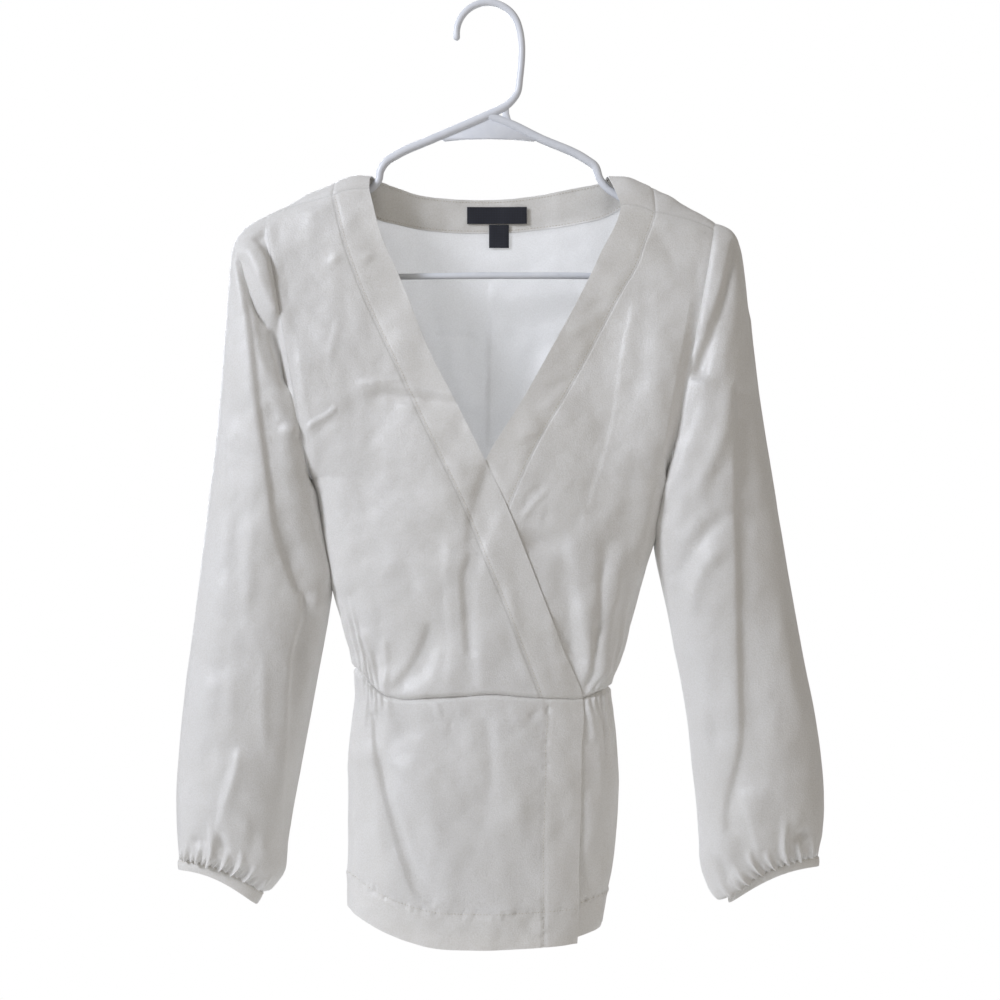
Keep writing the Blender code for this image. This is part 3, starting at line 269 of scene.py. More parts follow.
# Folds. Each has a kind, a half width, a height and its places. A ridge stands up, or is a trough if
# its height is less than nothing. A step is a flap's edge: the cloth on its left, looking along it,
# stands above the cloth on its right. A roll rises on the left and sinks on the right.
# These are placed as the camera sees them, in thousandths of its view across and down from
# its top left corner.
FOLDS_IN_VIEW = {
    "front_right": (
        ("ridge", 42.0, -7.5, ((385, 190), (424, 290), (462, 390), (486, 450))),
        ("ridge", 6.0, 1.5, ((329, 249), (332, 254), (336, 260))),
        ("ridge", 6.0, 1.7, ((362, 247), (366, 253), (370, 259))),
        ("ridge", 3.5, 0.7, ((339, 312), (333, 335), (326, 372))),
        ("ridge", 2.2, 1.9, ((354, 384), (377, 380), (408, 377))),
        ("roll", 4.4, 2.4, ((358, 391), (382, 389), (404, 391), (432, 395), (466, 401))),
        ("ridge", 3.5, 1.1, ((392, 401), (408, 406), (424, 409))),
        ("ridge", 1.7, 1.7, ((301, 430), (314, 421), (325, 415), (338, 405))),
        ("ridge", 3.4, -1.0, ((308, 436), (322, 427), (340, 417))),
        ("ridge", 1.6, 0.9, ((303, 428), (305, 448), (311, 478))),
        ("ridge", 5.0, -1.5, ((428, 436), (444, 444), (462, 450))),
        ("ridge", 5.0, 1.2, ((436, 420), (448, 427), (462, 434))),
        ("ridge", 5.0, 1.4, ((446, 458), (458, 466), (462, 484))),
        ("step", 4.5, -3.4, ((488, 456), (478, 484), (468, 522), (464, 556))),
        ("step", 5.0, 2.6, ((500, 506), (490, 530), (482, 560), (476, 584))),
        ("step", 2.8, -2.6, ((470, 548), (462, 575), (463, 610), (467, 662))),
        ("step", 4.4, 2.0, ((474, 572), (474, 630), (478, 700))),
        ("step", 4.0, 1.2, ((446, 530), (444, 590), (448, 640), (446, 690))),
        ("ridge", 4.5, 0.9, ((506, 560), (512, 610), (520, 655), (530, 685))),
        ("ridge", 7.0, -1.2, ((414, 560), (412, 590), (416, 620))),
        ("step", 3.6, -3.0, ((429, 618), (420, 645), (408, 668), (388, 694))),
        ("step", 5.0, 2.4, ((436, 640), (432, 662), (416, 684), (398, 697))),
        ("ridge", 3.2, -1.6, ((381, 696), (376, 676), (370, 650))),
        ("ridge", 3.4, 1.5, ((384, 696), (384, 670), (382, 636))),
        ("step", 3.4, -2.0, ((362, 648), (367, 661), (377, 684))),
        ("step", 3.0, -2.2, ((336, 590), (346, 612), (356, 642))),
        ("ridge", 8.0, 1.0, ((370, 600), (388, 572), (398, 540))),
        ("ridge", 9.0, -1.0, ((350, 470), (362, 500), (372, 540))),
        ("ridge", 9.0, 0.9, ((330, 500), (342, 540), (352, 580))),
        ("step", 2.2, 1.1, ((545, 610), (552, 650), (560, 690))),
        ("ridge", 12.0, -1.3, ((345, 380), (352, 410), (350, 440))),
        ("ridge", 12.0, 1.2, ((395, 300), (402, 330), (412, 352))),
        ("ridge", 9.0, 1.2, ((290, 330), (297, 360), (304, 398))),
        ("ridge", 4.0, 0.9, ((300, 212), (312, 206), (330, 204))),
        ("ridge", 5.0, -1.0, ((345, 214), (362, 222), (376, 236))),
    ),
    "front_left": (
        ("ridge", 30.0, 6.5, ((670, 230), (664, 350), (648, 480), (638, 600))),
        ("step", 2.4, 0.9, (
            (634, 298), (628, 325), (620, 372), (614, 412), (604, 455), (592, 490), (586, 513),
        )),
        ("step", 1.8, -0.9, ((586, 513), (565, 512), (542, 508))),
        ("ridge", 2.4, 0.9, ((552, 486), (536, 502), (520, 522))),
        ("step", 2.6, -1.1, ((546, 478), (530, 492), (518, 512))),
        ("ridge", 6.0, -0.9, ((660, 222), (674, 248), (678, 282))),
        ("ridge", 4.5, -1.3, ((580, 312), (596, 304), (614, 296))),
        ("ridge", 4.5, 1.1, ((568, 334), (584, 326), (600, 318))),
        ("ridge", 4.5, -1.2, ((544, 388), (558, 384), (576, 378))),
        ("ridge", 4.5, 1.1, ((534, 412), (548, 405), (562, 398))),
        ("step", 2.6, 1.5, ((510, 450), (528, 438), (548, 430))),
        ("ridge", 9.0, -4.5, ((516, 530), (545, 542), (574, 548))),
        ("step", 7.5, 4.0, ((562, 520), (570, 560), (576, 610), (587, 700))),
        ("step", 7.0, 6.5, ((572, 584), (576, 620), (579, 650), (587, 700))),
        ("step", 3.4, -0.6, ((562, 600), (574, 612), (588, 630))),
        ("step", 2.6, -2.0, ((560, 646), (572, 656), (588, 668))),
        ("ridge", 6.0, -1.4, ((608, 530), (604, 570), (599, 610), (593, 650))),
        ("ridge", 3.2, -1.2, ((605, 556), (601, 600), (595, 645), (588, 698))),
        ("ridge", 3.2, -1.8, ((599, 618), (595, 646), (591, 670), (588, 698))),
        ("ridge", 6.0, 1.2, ((624, 530), (615, 600), (606, 655), (597, 696))),
        ("step", 4.0, -2.6, ((628, 570), (620, 606), (611, 640), (600, 690))),
        ("ridge", 7.0, 1.5, ((652, 470), (645, 520), (636, 566))),
        ("ridge", 9.0, -1.3, ((640, 440), (628, 500), (616, 560))),
        ("ridge", 10.0, 0.8, ((664, 300), (660, 360), (652, 430))),
        ("ridge", 9.0, -0.5, ((646, 300), (640, 360), (630, 420))),
    ),
    "peplum_right": (
        ("step", 13.0, 4.0, ((396, 726), (404, 790), (424, 856))),
        ("step", 1.3, -1.9, (
            (369, 712), (372, 745), (379, 783), (388, 815), (397, 845), (405, 870), (414, 892),
            (434, 908),
        )),
        ("ridge", 4.5, -1.3, ((378, 745), (387, 790), (399, 828), (410, 862), (420, 890))),
        ("ridge", 8.0, 2.0, ((384, 748), (396, 768), (418, 788))),
        ("ridge", 9.0, -1.9, ((392, 704), (404, 728), (428, 748))),
        ("ridge", 8.0, 1.7, ((424, 800), (434, 830), (440, 862))),
        ("ridge", 6.0, -1.6, ((412, 858), (424, 884), (448, 898))),
        ("ridge", 6.0, 1.6, ((366, 740), (374, 800), (380, 860))),
        ("ridge", 5.0, -1.2, ((488, 712), (490, 750), (493, 800))),
        ("ridge", 7.0, 1.0, ((468, 705), (470, 740), (468, 790))),
        ("step", 2.4, 1.1, ((506, 704), (511, 716), (514, 732))),
        ("ridge", 3.2, -1.1, ((542, 706), (534, 716), (524, 730))),
        ("step", 2.6, -1.0, ((456, 708), (450, 722), (444, 742))),
        ("ridge", 3.0, 1.1, ((430, 702), (438, 712), (442, 724))),
        ("ridge", 8.0, 1.0, ((516, 790), (518, 820), (516, 850))),
        ("ridge", 7.0, -1.0, ((492, 790), (486, 812), (478, 838))),
        ("ridge", 7.0, 1.3, ((402, 906), (418, 922), (440, 930))),
        ("ridge", 7.0, -1.2, ((428, 926), (448, 918), (474, 916))),
        ("ridge", 7.0, 1.3, ((482, 926), (500, 914), (526, 912))),
        ("ridge", 6.0, -1.0, ((522, 918), (530, 926), (534, 938))),
        ("ridge", 8.0, -1.0, ((556, 850), (562, 835), (572, 815))),
    ),
    "peplum_left": (
        ("ridge", 3.0, 1.6, ((588, 700), (594, 722), (597, 750))),
        ("step", 2.6, -1.6, ((596, 704), (602, 730), (606, 765), (606, 820))),
        ("ridge", 6.0, 1.0, ((590, 780), (592, 830), (590, 880))),
    ),
    "sleeve_right": (
        ("step", 4.6, 8.4, ((232, 240), (245, 262), (255, 284), (265, 306), (280, 324))),
        ("step", 2.6, -7.0, ((246, 232), (262, 250), (273, 276), (281, 304))),
        ("ridge", 2.3, -3.8, ((231, 250), (243, 280), (256, 310), (272, 328))),
        ("ridge", 5.0, -8.0, ((270, 318), (281, 350), (293, 396))),
        ("step", 11.0, -5.0, ((240, 270), (252, 330), (262, 400), (272, 470), (284, 540), (296, 590))),
        ("step", 2.6, -3.8, (
            (231, 250), (239, 284), (249, 340), (256, 400), (262, 446), (268, 490), (275, 530),
            (284, 562), (298, 598),
        )),
        ("ridge", 6.0, 1.6, ((248, 300), (258, 350), (272, 390))),
        ("ridge", 5.5, 3.6, ((280, 424), (289, 430), (300, 434))),
        ("ridge", 6.0, -1.6, ((262, 404), (272, 412), (284, 410))),
        ("ridge", 6.5, 4.4, ((306, 590), (314, 602), (318, 620))),
        ("step", 9.0, -2.4, ((300, 600), (298, 650), (294, 720), (288, 800))),
        ("step", 2.8, -4.2, (
            (298, 586), (302, 606), (301, 624), (295, 642), (290, 700), (287, 760), (283, 805),
            (281, 850),
        )),
        ("ridge", 6.0, -1.6, ((300, 628), (299, 660), (294, 690))),
        ("ridge", 6.0, 1.6, ((314, 650), (309, 690), (304, 730))),
        ("step", 3.0, 2.2, ((238, 744), (234, 764), (227, 788), (219, 814), (211, 850))),
        ("ridge", 5.0, -3.6, ((186, 838), (196, 845), (206, 850))),
        ("ridge", 4.0, -3.6, ((217, 828), (221, 845), (226, 862))),
        ("ridge", 7.0, 3.0, ((258, 830), (262, 850), (264, 872))),
        ("ridge", 5.0, 1.6, ((236, 744), (236, 764), (230, 790), (220, 820))),
        ("ridge", 7.0, -1.4, ((206, 730), (208, 752), (206, 782))),
        ("ridge", 5.0, 1.1, ((262, 640), (263, 700), (264, 760))),
        ("ridge", 7.0, -1.0, ((224, 640), (221, 700), (224, 740))),
        ("ridge", 8.0, 1.3, ((230, 340), (222, 420), (218, 500))),
        ("ridge", 7.0, -1.0, ((240, 430), (236, 520), (238, 600))),
        ("ridge", 6.0, 1.0, ((250, 520), (249, 580), (246, 640))),
        ("step", 5.0, -1.8, ((244, 800), (250, 830), (252, 860))),
    ),
    "sleeve_left": (
        ("step", 4.5, 6.0, ((719, 230), (711, 262), (704, 300), (698, 340))),
        ("step", 2.8, -6.4, ((737, 232), (729, 268), (717, 312), (702, 348), (690, 378))),
        ("ridge", 6.0, 0.8, ((744, 262), (736, 310), (726, 360))),
        ("step", 4.0, -2.2, ((744, 250), (748, 310), (748, 370))),
        ("step", 10.0, -3.2, ((744, 300), (744, 420), (744, 540), (745, 660), (744, 740))),
        ("step", 3.4, -3.5, (
            (738, 380), (738, 450), (738, 520), (739, 600), (740, 690), (740, 745), (733, 778),
            (727, 806), (726, 838),
        )),
        ("ridge", 7.0, 2.6, ((730, 380), (724, 424), (710, 462), (692, 502))),
        ("ridge", 6.5, -3.0, ((676, 470), (670, 500), (668, 536))),
        ("ridge", 6.5, -2.6, ((734, 512), (712, 528), (692, 552), (676, 588))),
        ("ridge", 6.5, 2.6, ((734, 540), (712, 560), (696, 590), (694, 622))),
        ("ridge", 8.0, -2.0, ((706, 372), (694, 410), (684, 448))),
        ("ridge", 8.0, 1.4, ((708, 640), (706, 690), (708, 770))),
        ("ridge", 6.0, -1.4, ((716, 712), (716, 738), (714, 760))),
        ("step", 3.0, 1.9, ((738, 790), (748, 822), (758, 860))),
        ("ridge", 9.0, 2.4, ((712, 832), (724, 852), (742, 866))),
        ("ridge", 6.0, -2.2, ((716, 826), (736, 836), (752, 856))),
        ("ridge", 5.0, -4.5, ((794, 846), (804, 838), (814, 842))),
        ("ridge", 4.5, -4.0, ((716, 858), (728, 872), (738, 886))),
        ("ridge", 9.0, 1.2, ((780, 560), (788, 640), (800, 720))),
        ("ridge", 9.0, -1.2, ((764, 480), (768, 560), (774, 640))),
        ("ridge", 8.0, 1.2, ((806, 800), (796, 826), (786, 850))),
    ),
}
# How many millimetres of each piece's cloth such a thousandth takes in
PART_WIDTH = {
    "front_right": 0.8122, "front_left": 0.8122, "peplum_right": 0.8122, "peplum_left": 0.8122,
    "sleeve_right": 0.8168, "sleeve_left": 0.8168,
}
# And these are out of its sight: x and z
FOLDS_BEHIND = {
    "back": (
        ("step", 2.2, -1.4, ((2, -226), (0, -304), (-1, -372))),
        ("ridge", 2.5, 1.3, ((-49, -275), (-28, -276), (-8, -276))),
        ("ridge", 9.0, -2.2, ((15, -240), (12, -300), (6, -370))),
        ("ridge", 9.0, -2.1, ((-40, -240), (-31, -290), (-18, -345))),
        ("ridge", 10.0, 2.4, ((48, -240), (40, -290), (26, -340))),
        ("ridge", 11.0, 2.9, ((-118, -240), (-108, -330), (-98, -430))),
        ("ridge", 11.0, -2.7, ((116, -232), (104, -330), (98, -440))),
        ("ridge", 8.0, 3.5, ((-90, -570), (-72, -520), (-60, -460))),
        ("ridge", 8.0, -3.5, ((-92, -566), (-86, -520), (-84, -470))),
        ("ridge", 8.0, 3.5, ((86, -570), (70, -515), (58, -455))),
        ("ridge", 8.0, -3.5, ((90, -566), (86, -520), (82, -462))),
        ("ridge", 10.0, 2.4, ((-30, -420), (-26, -490), (-30, -560))),
        ("ridge", 10.0, -2.4, ((-6, -430), (-2, -500), (-4, -566))),
        ("ridge", 10.0, 2.2, ((26, -420), (24, -490), (28, -562))),
        ("ridge", 3.0, 2.4, ((-128, -352), (-112, -346), (-98, -338))),
        ("ridge", 3.0, -2.1, ((96, -360), (112, -366), (130, -376))),
    ),
    "peplum_back": (
        ("step", 3.4, 4.2, ((-96, -592), (-86, -650), (-72, -700), (-62, -744))),
        ("ridge", 9.0, 2.9, ((-60, -596), (-56, -650), (-50, -710))),
        ("ridge", 10.0, -2.6, ((-26, -596), (-24, -660), (-26, -730))),
        ("ridge", 10.0, 2.6, ((6, -596), (8, -660), (8, -730))),
        ("ridge", 9.0, -2.7, ((42, -596), (46, -660), (50, -720))),
        ("step", 3.4, -4.2, ((88, -590), (82, -640), (70, -700), (62, -742))),
    ),
    "sleeve_right_back": (
        ("ridge", 8.0, 4.8, ((-205, -204), (-190, -240), (-176, -280))),
        ("ridge", 8.0, -5.1, ((-206, -226), (-188, -276), (-168, -330))),
        ("step", 5.0, -6.4, ((-206, -250), (-194, -340), (-178, -430), (-168, -530), (-172, -640))),
        ("ridge", 10.0, 3.5, ((-224, -360), (-226, -460), (-222, -560))),
        ("ridge", 9.0, -3.2, ((-200, -520), (-206, -600), (-216, -680))),
        ("ridge", 8.0, 3.5, ((-186, -590), (-192, -660), (-200, -716))),
    ),
    "sleeve_left_back": (
        ("ridge", 8.0, 4.8, ((202, -206), (188, -244), (176, -284))),
        ("ridge", 8.0, -5.1, ((206, -228), (190, -280), (172, -336))),
        ("step", 5.0, 6.4, ((210, -250), (208, -340), (202, -430), (196, -530), (200, -640))),
        ("ridge", 10.0, 3.5, ((228, -360), (238, -460), (246, -560))),
        ("ridge", 9.0, -3.2, ((214, -520), (222, -600), (232, -680))),
        ("ridge", 8.0, 3.5, ((192, -590), (198, -660), (210, -716))),
    ),
}
OVERHANG = 1.5  # how far the cloth blouses over the waist seam
OVERHANG_LENGTH = 30.0
OVERHANG_SIDE = (3, 32)  # from a side seam, over which it comes to that
FOLD_FADE = 3.5  # a fold rises and fades over so many half widths
FOLD_STEP = 4.0  # between the points that a fold's curve is drawn through
STEP_STEEP = 1.4  # how steep a step is
STEP_FLAP = 5  # in how many half widths its flap sinks back to the cloth
ROLL_FULL = 1.65  # makes a roll 1 high
FOLD_REACH = {"ridge": 3, "step": 12, "roll": 4}  # how many half widths away a fold still shows

# Soft unevenness of hung cloth: how far apart its swellings are, and how high they stand
SWELLS = ((60.0, 2.6), (30.0, 1.9), (14.0, 0.75), (7.0, 0.2))

# Labels on the inside of the back: the middle's x, the top's z, width, height
LABEL_MAIN = (7.5, -166.8, 51, 14.2)
LABEL_SIZE = (9.2, -181.6, 17, 19.5)
LABEL_WALL = 0.45
LABEL_LIFT = 2.1  # in front of the back's middle
SIZE_OVER_MAIN = 0.2  # how much further in front the size label is

# The studio, in metres. A light has a place, a target, a size, a power and a colour.
FLOOR = -1250.0  # in millimetres, as the next two
FLOOR_RADIUS = 1200.0
FLOOR_RIM = (6.0, 0.6)  # how far in the underside begins, and how deep it is
FLOOR_SIDES = 96

WAVE_PART = 6.28  # a wave whose scale is divided by it has bands about two sizes apart
SKY = 0.335
SKY_COLOUR = "#FEFBF7"
CAMERA_DISTANCE = 1.650
CAMERA_VIEW = 0.835  # the width seen at the object's middle
CAMERA_SENSOR = 36.0
VIEW_MIDDLE = (10.0, -415.5)  # x and z, in millimetres
VIEW_PARTS = 1000  # that the view is divided in, across and down
LIGHTS = (
    ("window", (-2.25, -1.6, 0.9), (0.0, 0.0, -0.45), 0.8, 64.0, "#F0F4FF"),
    ("opposite", (1.9, -1.1, -0.2), (0.0, 0.0, -0.45), 1.4, 2.5, "#FFE6CA"),
    ("behind", (-0.6, 2.0, 0.3), (0.0, 0.0, -0.35), 1.6, 39.0, "#EEF4FF"),
)

# The hanger. Its paths give x, z and the tube's radius.
TUBE = 2.9
HOOK_RADIUS = 26.4
HOOK_START = -6.0
HOOK_SWEEP = 172.0
HOOK_STEPS = 24
TUBE_SIDES = 24
TUBE_STEP = 2.5
CAP_ANGLES = [math.radians(a) for a in (20, 40, 60, 78)]
WEB_WALL = 2.4
SHANK_AND_ARM = (
    (26.4, -64, 2.9), (24.6, -75, 3.0), (17.5, -84.5, 3.2), (7, -90.8, 3.5), (-4, -95.8, 3.6),
    (-47.6, -114.6, 3.6), (-76, -127.2, 3.6), (-85.5, -133.6, 3.5), (-90, -141, 3.3),
    (-91.3, -148.5, 3.1), (-95.5, -153.8, 3.1), (-103, -158.6, 3.4), (-150, -180.4, 3.6),
    (-188, -197.4, 3.6), (-199.5, -204, 3.6), (-204.6, -212, 3.5), (-203, -221, 3.4),
    (-195, -227.4, 3.2), (-180, -228.2, 2.9), (0, -228.2, 2.8), (60, -228.2, 2.8),
)
OTHER_ARM = (
    (0.5, -94.5, 3.3), (16.7, -100.6, 3.6), (42.6, -113.2, 3.6), (82, -131.4, 3.6),
    (89.3, -136.8, 3.5), (93.2, -147, 3.2), (98.5, -154.4, 3.1), (109, -161.6, 3.4),
    (150, -180.6, 3.6), (188, -198.2, 3.6), (198.5, -204.6, 3.6), (203.6, -212.4, 3.5),
    (202, -221, 3.4), (194, -227.4, 3.2), (180, -228.2, 2.9), (59, -228.2, 2.8),
)
WEB_UNDER = (
    (-3, -96.5), (-42, -113), (-36, -116.2), (-20, -114.6), (0, -114.1), (20, -114.6), (38, -116.2),
    (43, -113.4), (4, -96.5),
)
WEB_BESIDE = ((12, -90), (17.4, -86), (17.6, -93), (20, -101), (12, -98))


# Curves ------------------------------------------------------------------------------------------


def smooth(table, at):
    """The second column of a table at values of its first, along a curve through every row."""
    keys, values = np.array(sorted(table), float).T
    at = np.clip(np.asarray(at, float), keys[0], keys[-1])
    slopes = np.gradient(values, keys)
    cell = np.clip(np.searchsorted(keys, at, side="right") - 1, 0, len(keys) - 2)
    width = keys[cell + 1] - keys[cell]
    t = (at - keys[cell]) / width
    start = values[cell] * (1 + 2 * t) * (1 - t) ** 2 + slopes[cell] * width * t * (1 - t) ** 2
    end = values[cell + 1] * t**2 * (3 - 2 * t) + slopes[cell + 1] * width * t**2 * (t - 1)
    return start + end


def through(rows, keys, at):
    """Rows at places along a smooth curve that passes through every given row at its key."""
    return np.stack([smooth(list(zip(keys, column)), at) for column in np.array(rows, float).T], -1)


def finer(rows, parts):
    """The rows of a table with more between them, along a smooth curve through every row. The
    parts are those of one step, or of each."""
    rows = np.array(rows, float)
    if rows.ndim == 1:
        return finer(rows[:, None], parts)[:, 0]
    parts = np.broadcast_to(parts, len(rows) - 1)
    at = [np.linspace(k, k + 1, part, endpoint=False) for k, part in enumerate(parts)]
    return through(rows, range(len(rows)), np.concatenate(at + [[len(rows) - 1]]))


def curve(rows, step):
    """Rows about a step apart along a smooth curve; the first two columns are its places."""
    rows = np.array(rows, float)
    length = length_along(rows[:, :2])
    return through(rows, length, np.linspace(0, length[-1], max(3, round(length[-1] / step) + 1)))


def ease(value, low, high):
    """Goes from 0 at low to 1 at high, level at both ends."""
    t = np.clip((np.asarray(value, float) - low) / (high - low), 0, 1)
    return t * t * (3 - 2 * t)


def hump(value, low, full, still, gone, height=1.0):
    """Goes from 0 at low to a height at full, and from still on back to 0 at gone."""
    return height * ease(value, low, full) * (1 - ease(value, still, gone))


def unit(vectors):
    """Vectors with a length of 1."""
    return vectors / np.maximum(np.linalg.norm(vectors, axis=-1, keepdims=True), 1e-12)


def length_along(points):
    """How far along a line of points each one lies."""
    return np.concatenate([[0], np.cumsum(np.linalg.norm(np.diff(points, axis=0), axis=1))])


# The form ----------------------------------------------------------------------------------------


def arm_plane_x(hand, z):
    """Where an armhole's plane stands at a height; hand is -1 for the wearer's right."""
    x, height, slope = ARM_PLANE[hand]
    return x - (height - z) * slope


def side_x(hand, z):
    """The body's edge: the armhole's plane above the underarm, and the side seam below it."""
    column = 1 if hand < 0 else 2
    side = [(row[0], row[column]) for row in BODY]
    apart = arm_plane_x(hand, UNDERARM) - smooth(side, UNDERARM)
    below = smooth(side, z) + apart * (1 - ease(UNDERARM - np.asarray(z), 0, UNDERARM_JOIN))
    return np.where(np.asarray(z) > UNDERARM, arm_plane_x(hand, z), below)


def depth_squared(x, z):
    """The square of the form's half depth, which is nothing on its outline."""
    right, left = side_x(-1, z), side_x(1, z)
    across = np.clip(np.abs(2 * x - left - right) / (left - right), 0, 1) ** SIDE_POWER
    middle = smooth([(row[0], row[3]) for row in BODY], z) ** 2
    scoop = np.clip((z - UNDERARM) / UNDERARM_SCOOP, 0, 1)
    edge = ARMHOLE_DEPTH**2 * (1 - (1 - scoop) ** SCOOP_POWER)
    body = middle * (1 - across) + edge * across
    drop = np.maximum(smooth(SHOULDER_LINE, x) - z, 0)
    neck = np.clip(np.abs(x) / NECK_HALF, 0, 1)
    radius = SHOULDER_RADIUS + (NECK_RADIUS - SHOULDER_RADIUS) * np.cos(neck * math.pi / 2) ** 2
    over = 2 * radius * drop
    return body * over / (body + over + 1e-9)


def on_form(x, z, side):
    """Points on the form and the directions out of it; side is -1 in front."""
    x, z, side = np.broadcast_arrays(
        np.asarray(x, float), np.asarray(z, float), np.asarray(side, float)
    )
    y = side * np.sqrt(depth_squared(x, z))
    step = SLOPE_STEP
    slope_x = (depth_squared(x + step, z) - depth_squared(x - step, z)) / (2 * step)
    step = step + (1 - ease(np.abs(z - UNDERARM), *UNDERARM_NEAR)) * UNDERARM_STEP
    slope_z = (depth_squared(x, z + step) - depth_squared(x, z - step)) / (2 * step)
    return np.stack([x, y, z], -1), unit(np.stack([-slope_x, 2 * y, -slope_z], -1))


def reach_at(x, z):
    """How far past the top of the shoulder a height lies, without its sign."""
    drop = np.maximum(smooth(SHOULDER_LINE, x) - z, 0)
    return np.sqrt((drop + CREST) ** 2 - CREST**2)


def height_at(x, reach):
    """The height of a place with a reach over the shoulder."""
    return smooth(SHOULDER_LINE, x) - (np.sqrt(np.asarray(reach) ** 2 + CREST**2) - CREST)


def patch(top, bottom, first, last, down):
    """Fills a four-sided piece from its edges; rows run down, and columns from first to last."""
    top, bottom, first, last = (np.array(e, float) for e in (top, bottom, first, last))
    first[0], first[-1], last[0], last[-1] = top[0], bottom[0], top[-1], bottom[-1]
    along = (top[:, 0] - top[0, 0]) / (top[-1, 0] - top[0, 0])
    along = along + (bottom[:, 0] - bottom[0, 0]) / (bottom[-1, 0] - bottom[0, 0])
    u, v = (along / 2)[None, :, None], np.asarray(down, float)[:, None, None]
    edges = (1 - v) * top[None] + v * bottom[None] + (1 - u) * first[:, None] + u * last[:, None]
    corners = (1 - u) * ((1 - v) * top[0] + v * bottom[0]) + u * ((1 - v) * top[-1] + v * bottom[-1])
    return edges - corners


def under_lap(x, z):
    """How far the under front and all on it lie behind the form, near and behind the lap."""
    past = np.asarray(x) - smooth(LAP_EDGE, z)
    return -smooth(LAP_DROP, z) * (1 - ease(past, *LAP_RAMP))


# Edges of the bodice -----------------------------------------------------------------------------


def spread(columns, gathered):
    """Shares of the way along an edge: close where it is gathered, and again at its last seam."""
    t = np.linspace(0, 1, columns)
    start, much = CROWDED
    step = (1 + t**2 * gathered) * (1 - much * ease(t, start, 1))
    shares = np.concatenate([[0], np.cumsum(step)])
    return shares / shares[-1]


def seam_stations(waist, side, hand, end_x, columns):
    """Places along a waist seam from a side: close where it is gathered, and wide to its end."""
    start_x = side_x(hand, smooth(waist, side_x(hand, WAIST_SIDE)))
    x = start_x + (end_x - start_x) * np.linspace(0, 1, SAMPLES) ** 2
    length = length_along(on_form(x, smooth(waist, x), side)[0])
    return np.interp(spread(columns, True) * length[-1], length, x)


def on_arm_plane(hand, reach):
    """Where a reach over the shoulder's end meets the armhole's plane: its x."""
    x = ARM_PLANE[hand][0]
    for _ in range(8):
        x = float(arm_plane_x(hand, height_at(x, reach)))
    return x


def shoulder_seam(hand):
    """The corners of a shoulder seam, x and reach, from the armhole's plane to the neck band."""
    seam = np.array(SHOULDER_SEAM[hand])
    seam[0, 0] = on_arm_plane(hand, seam[0, 1])
    return seam


def side_rows(hand, waist, side):
    """Places x and reach down a bodice's side edge, and how far down each row lies."""
    start_reach = SHOULDER_SEAM[hand][0][1]
    underarm_x = float(arm_plane_x(hand, UNDERARM)) - hand * SIDE_CLEAR
    underarm = float(reach_at(underarm_x, UNDERARM)) * side
    reaches = start_reach + (underarm - start_reach) * finer(ARMHOLE_ROWS, PARTS)
    places = [(on_arm_plane(hand, reach), reach) for reach in reaches[:-1]]
    places.append((underarm_x, underarm))
    waist_z = float(smooth(waist, side_x(hand, WAIST_SIDE)))
    for f in finer((0,) + SIDE_ROWS, PARTS)[1:]:
        z = UNDERARM + (waist_z - UNDERARM) * f
        x = float(side_x(hand, z))
        places.append((x, float(reach_at(x, z)) * side))
    places = np.array(places)
    down = (places[:, 1] - places[0, 1]) / (places[-1, 1] - places[0, 1])
    return places, down


def front_seams(hand):
    """The places of a front's band seam and of its band's free edge, row by row."""
    _, down = side_rows(hand, WAIST_FRONT, -1)
    seam_x, seam_reach, edge_x, edge_reach = NECK_BACK[0] if hand < 0 else NECK_BACK[-1]
    seam_table = OVER_BAND_SEAM if hand < 0 else UNDER_BAND_SEAM
    edge_table = LAP_EDGE if hand < 0 else UNDER_EDGE
    seam_top, edge_top = float(height_at(seam_x, seam_reach)), float(height_at(edge_x, edge_reach))
    seam_end = float(smooth(WAIST_FRONT, smooth(seam_table, WAIST_MIDDLE)))
    edge_end = float(smooth(WAIST_FRONT, smooth(edge_table, WAIST_MIDDLE)))
    lag = BAND_LAG * np.sin(math.pi * down)
    seam_z = seam_top + (seam_end - seam_top) * down - lag
    edge_z = edge_top + (edge_end - edge_top) * down
    seam = np.stack([smooth(seam_table, seam_z), seam_z], -1)
    edge = np.stack([smooth(edge_table, edge_z), edge_z], -1)
    seam[0], edge[0] = (seam_x, seam_top), (edge_x, edge_top)
    return seam, edge


# Folds, gathers and seams ------------------------------------------------------------------------


def fold_profile(kind, s):
    """How high a fold stands at s half widths to the left of its line, from 1 to -1."""
    if kind == "ridge":
        return np.exp(-(s**2))
    if kind == "step":
        risen = 0.5 * (1 + np.tanh(STEP_STEEP * s))
        return risen * np.exp(-((np.maximum(s, 0) / STEP_FLAP) ** 2))
    return ROLL_FULL * s * np.exp(-(s**2) / 2)


def from_view(places, part):
    """Places in the camera's view as x and z, to the millimetre, where a part of it is so wide."""
    (x, z), half = VIEW_MIDDLE, VIEW_PARTS / 2
    return [(round(x + (a - half) * part), round(z - (b - half) * part)) for a, b in places]


def folds(name):
    """The named folds, with their places in x and z."""
    if name in FOLDS_BEHIND:
        return FOLDS_BEHIND[name]
    return [(*fold[:3], from_view(fold[3], PART_WIDTH[name])) for fold in FOLDS_IN_VIEW[name]]


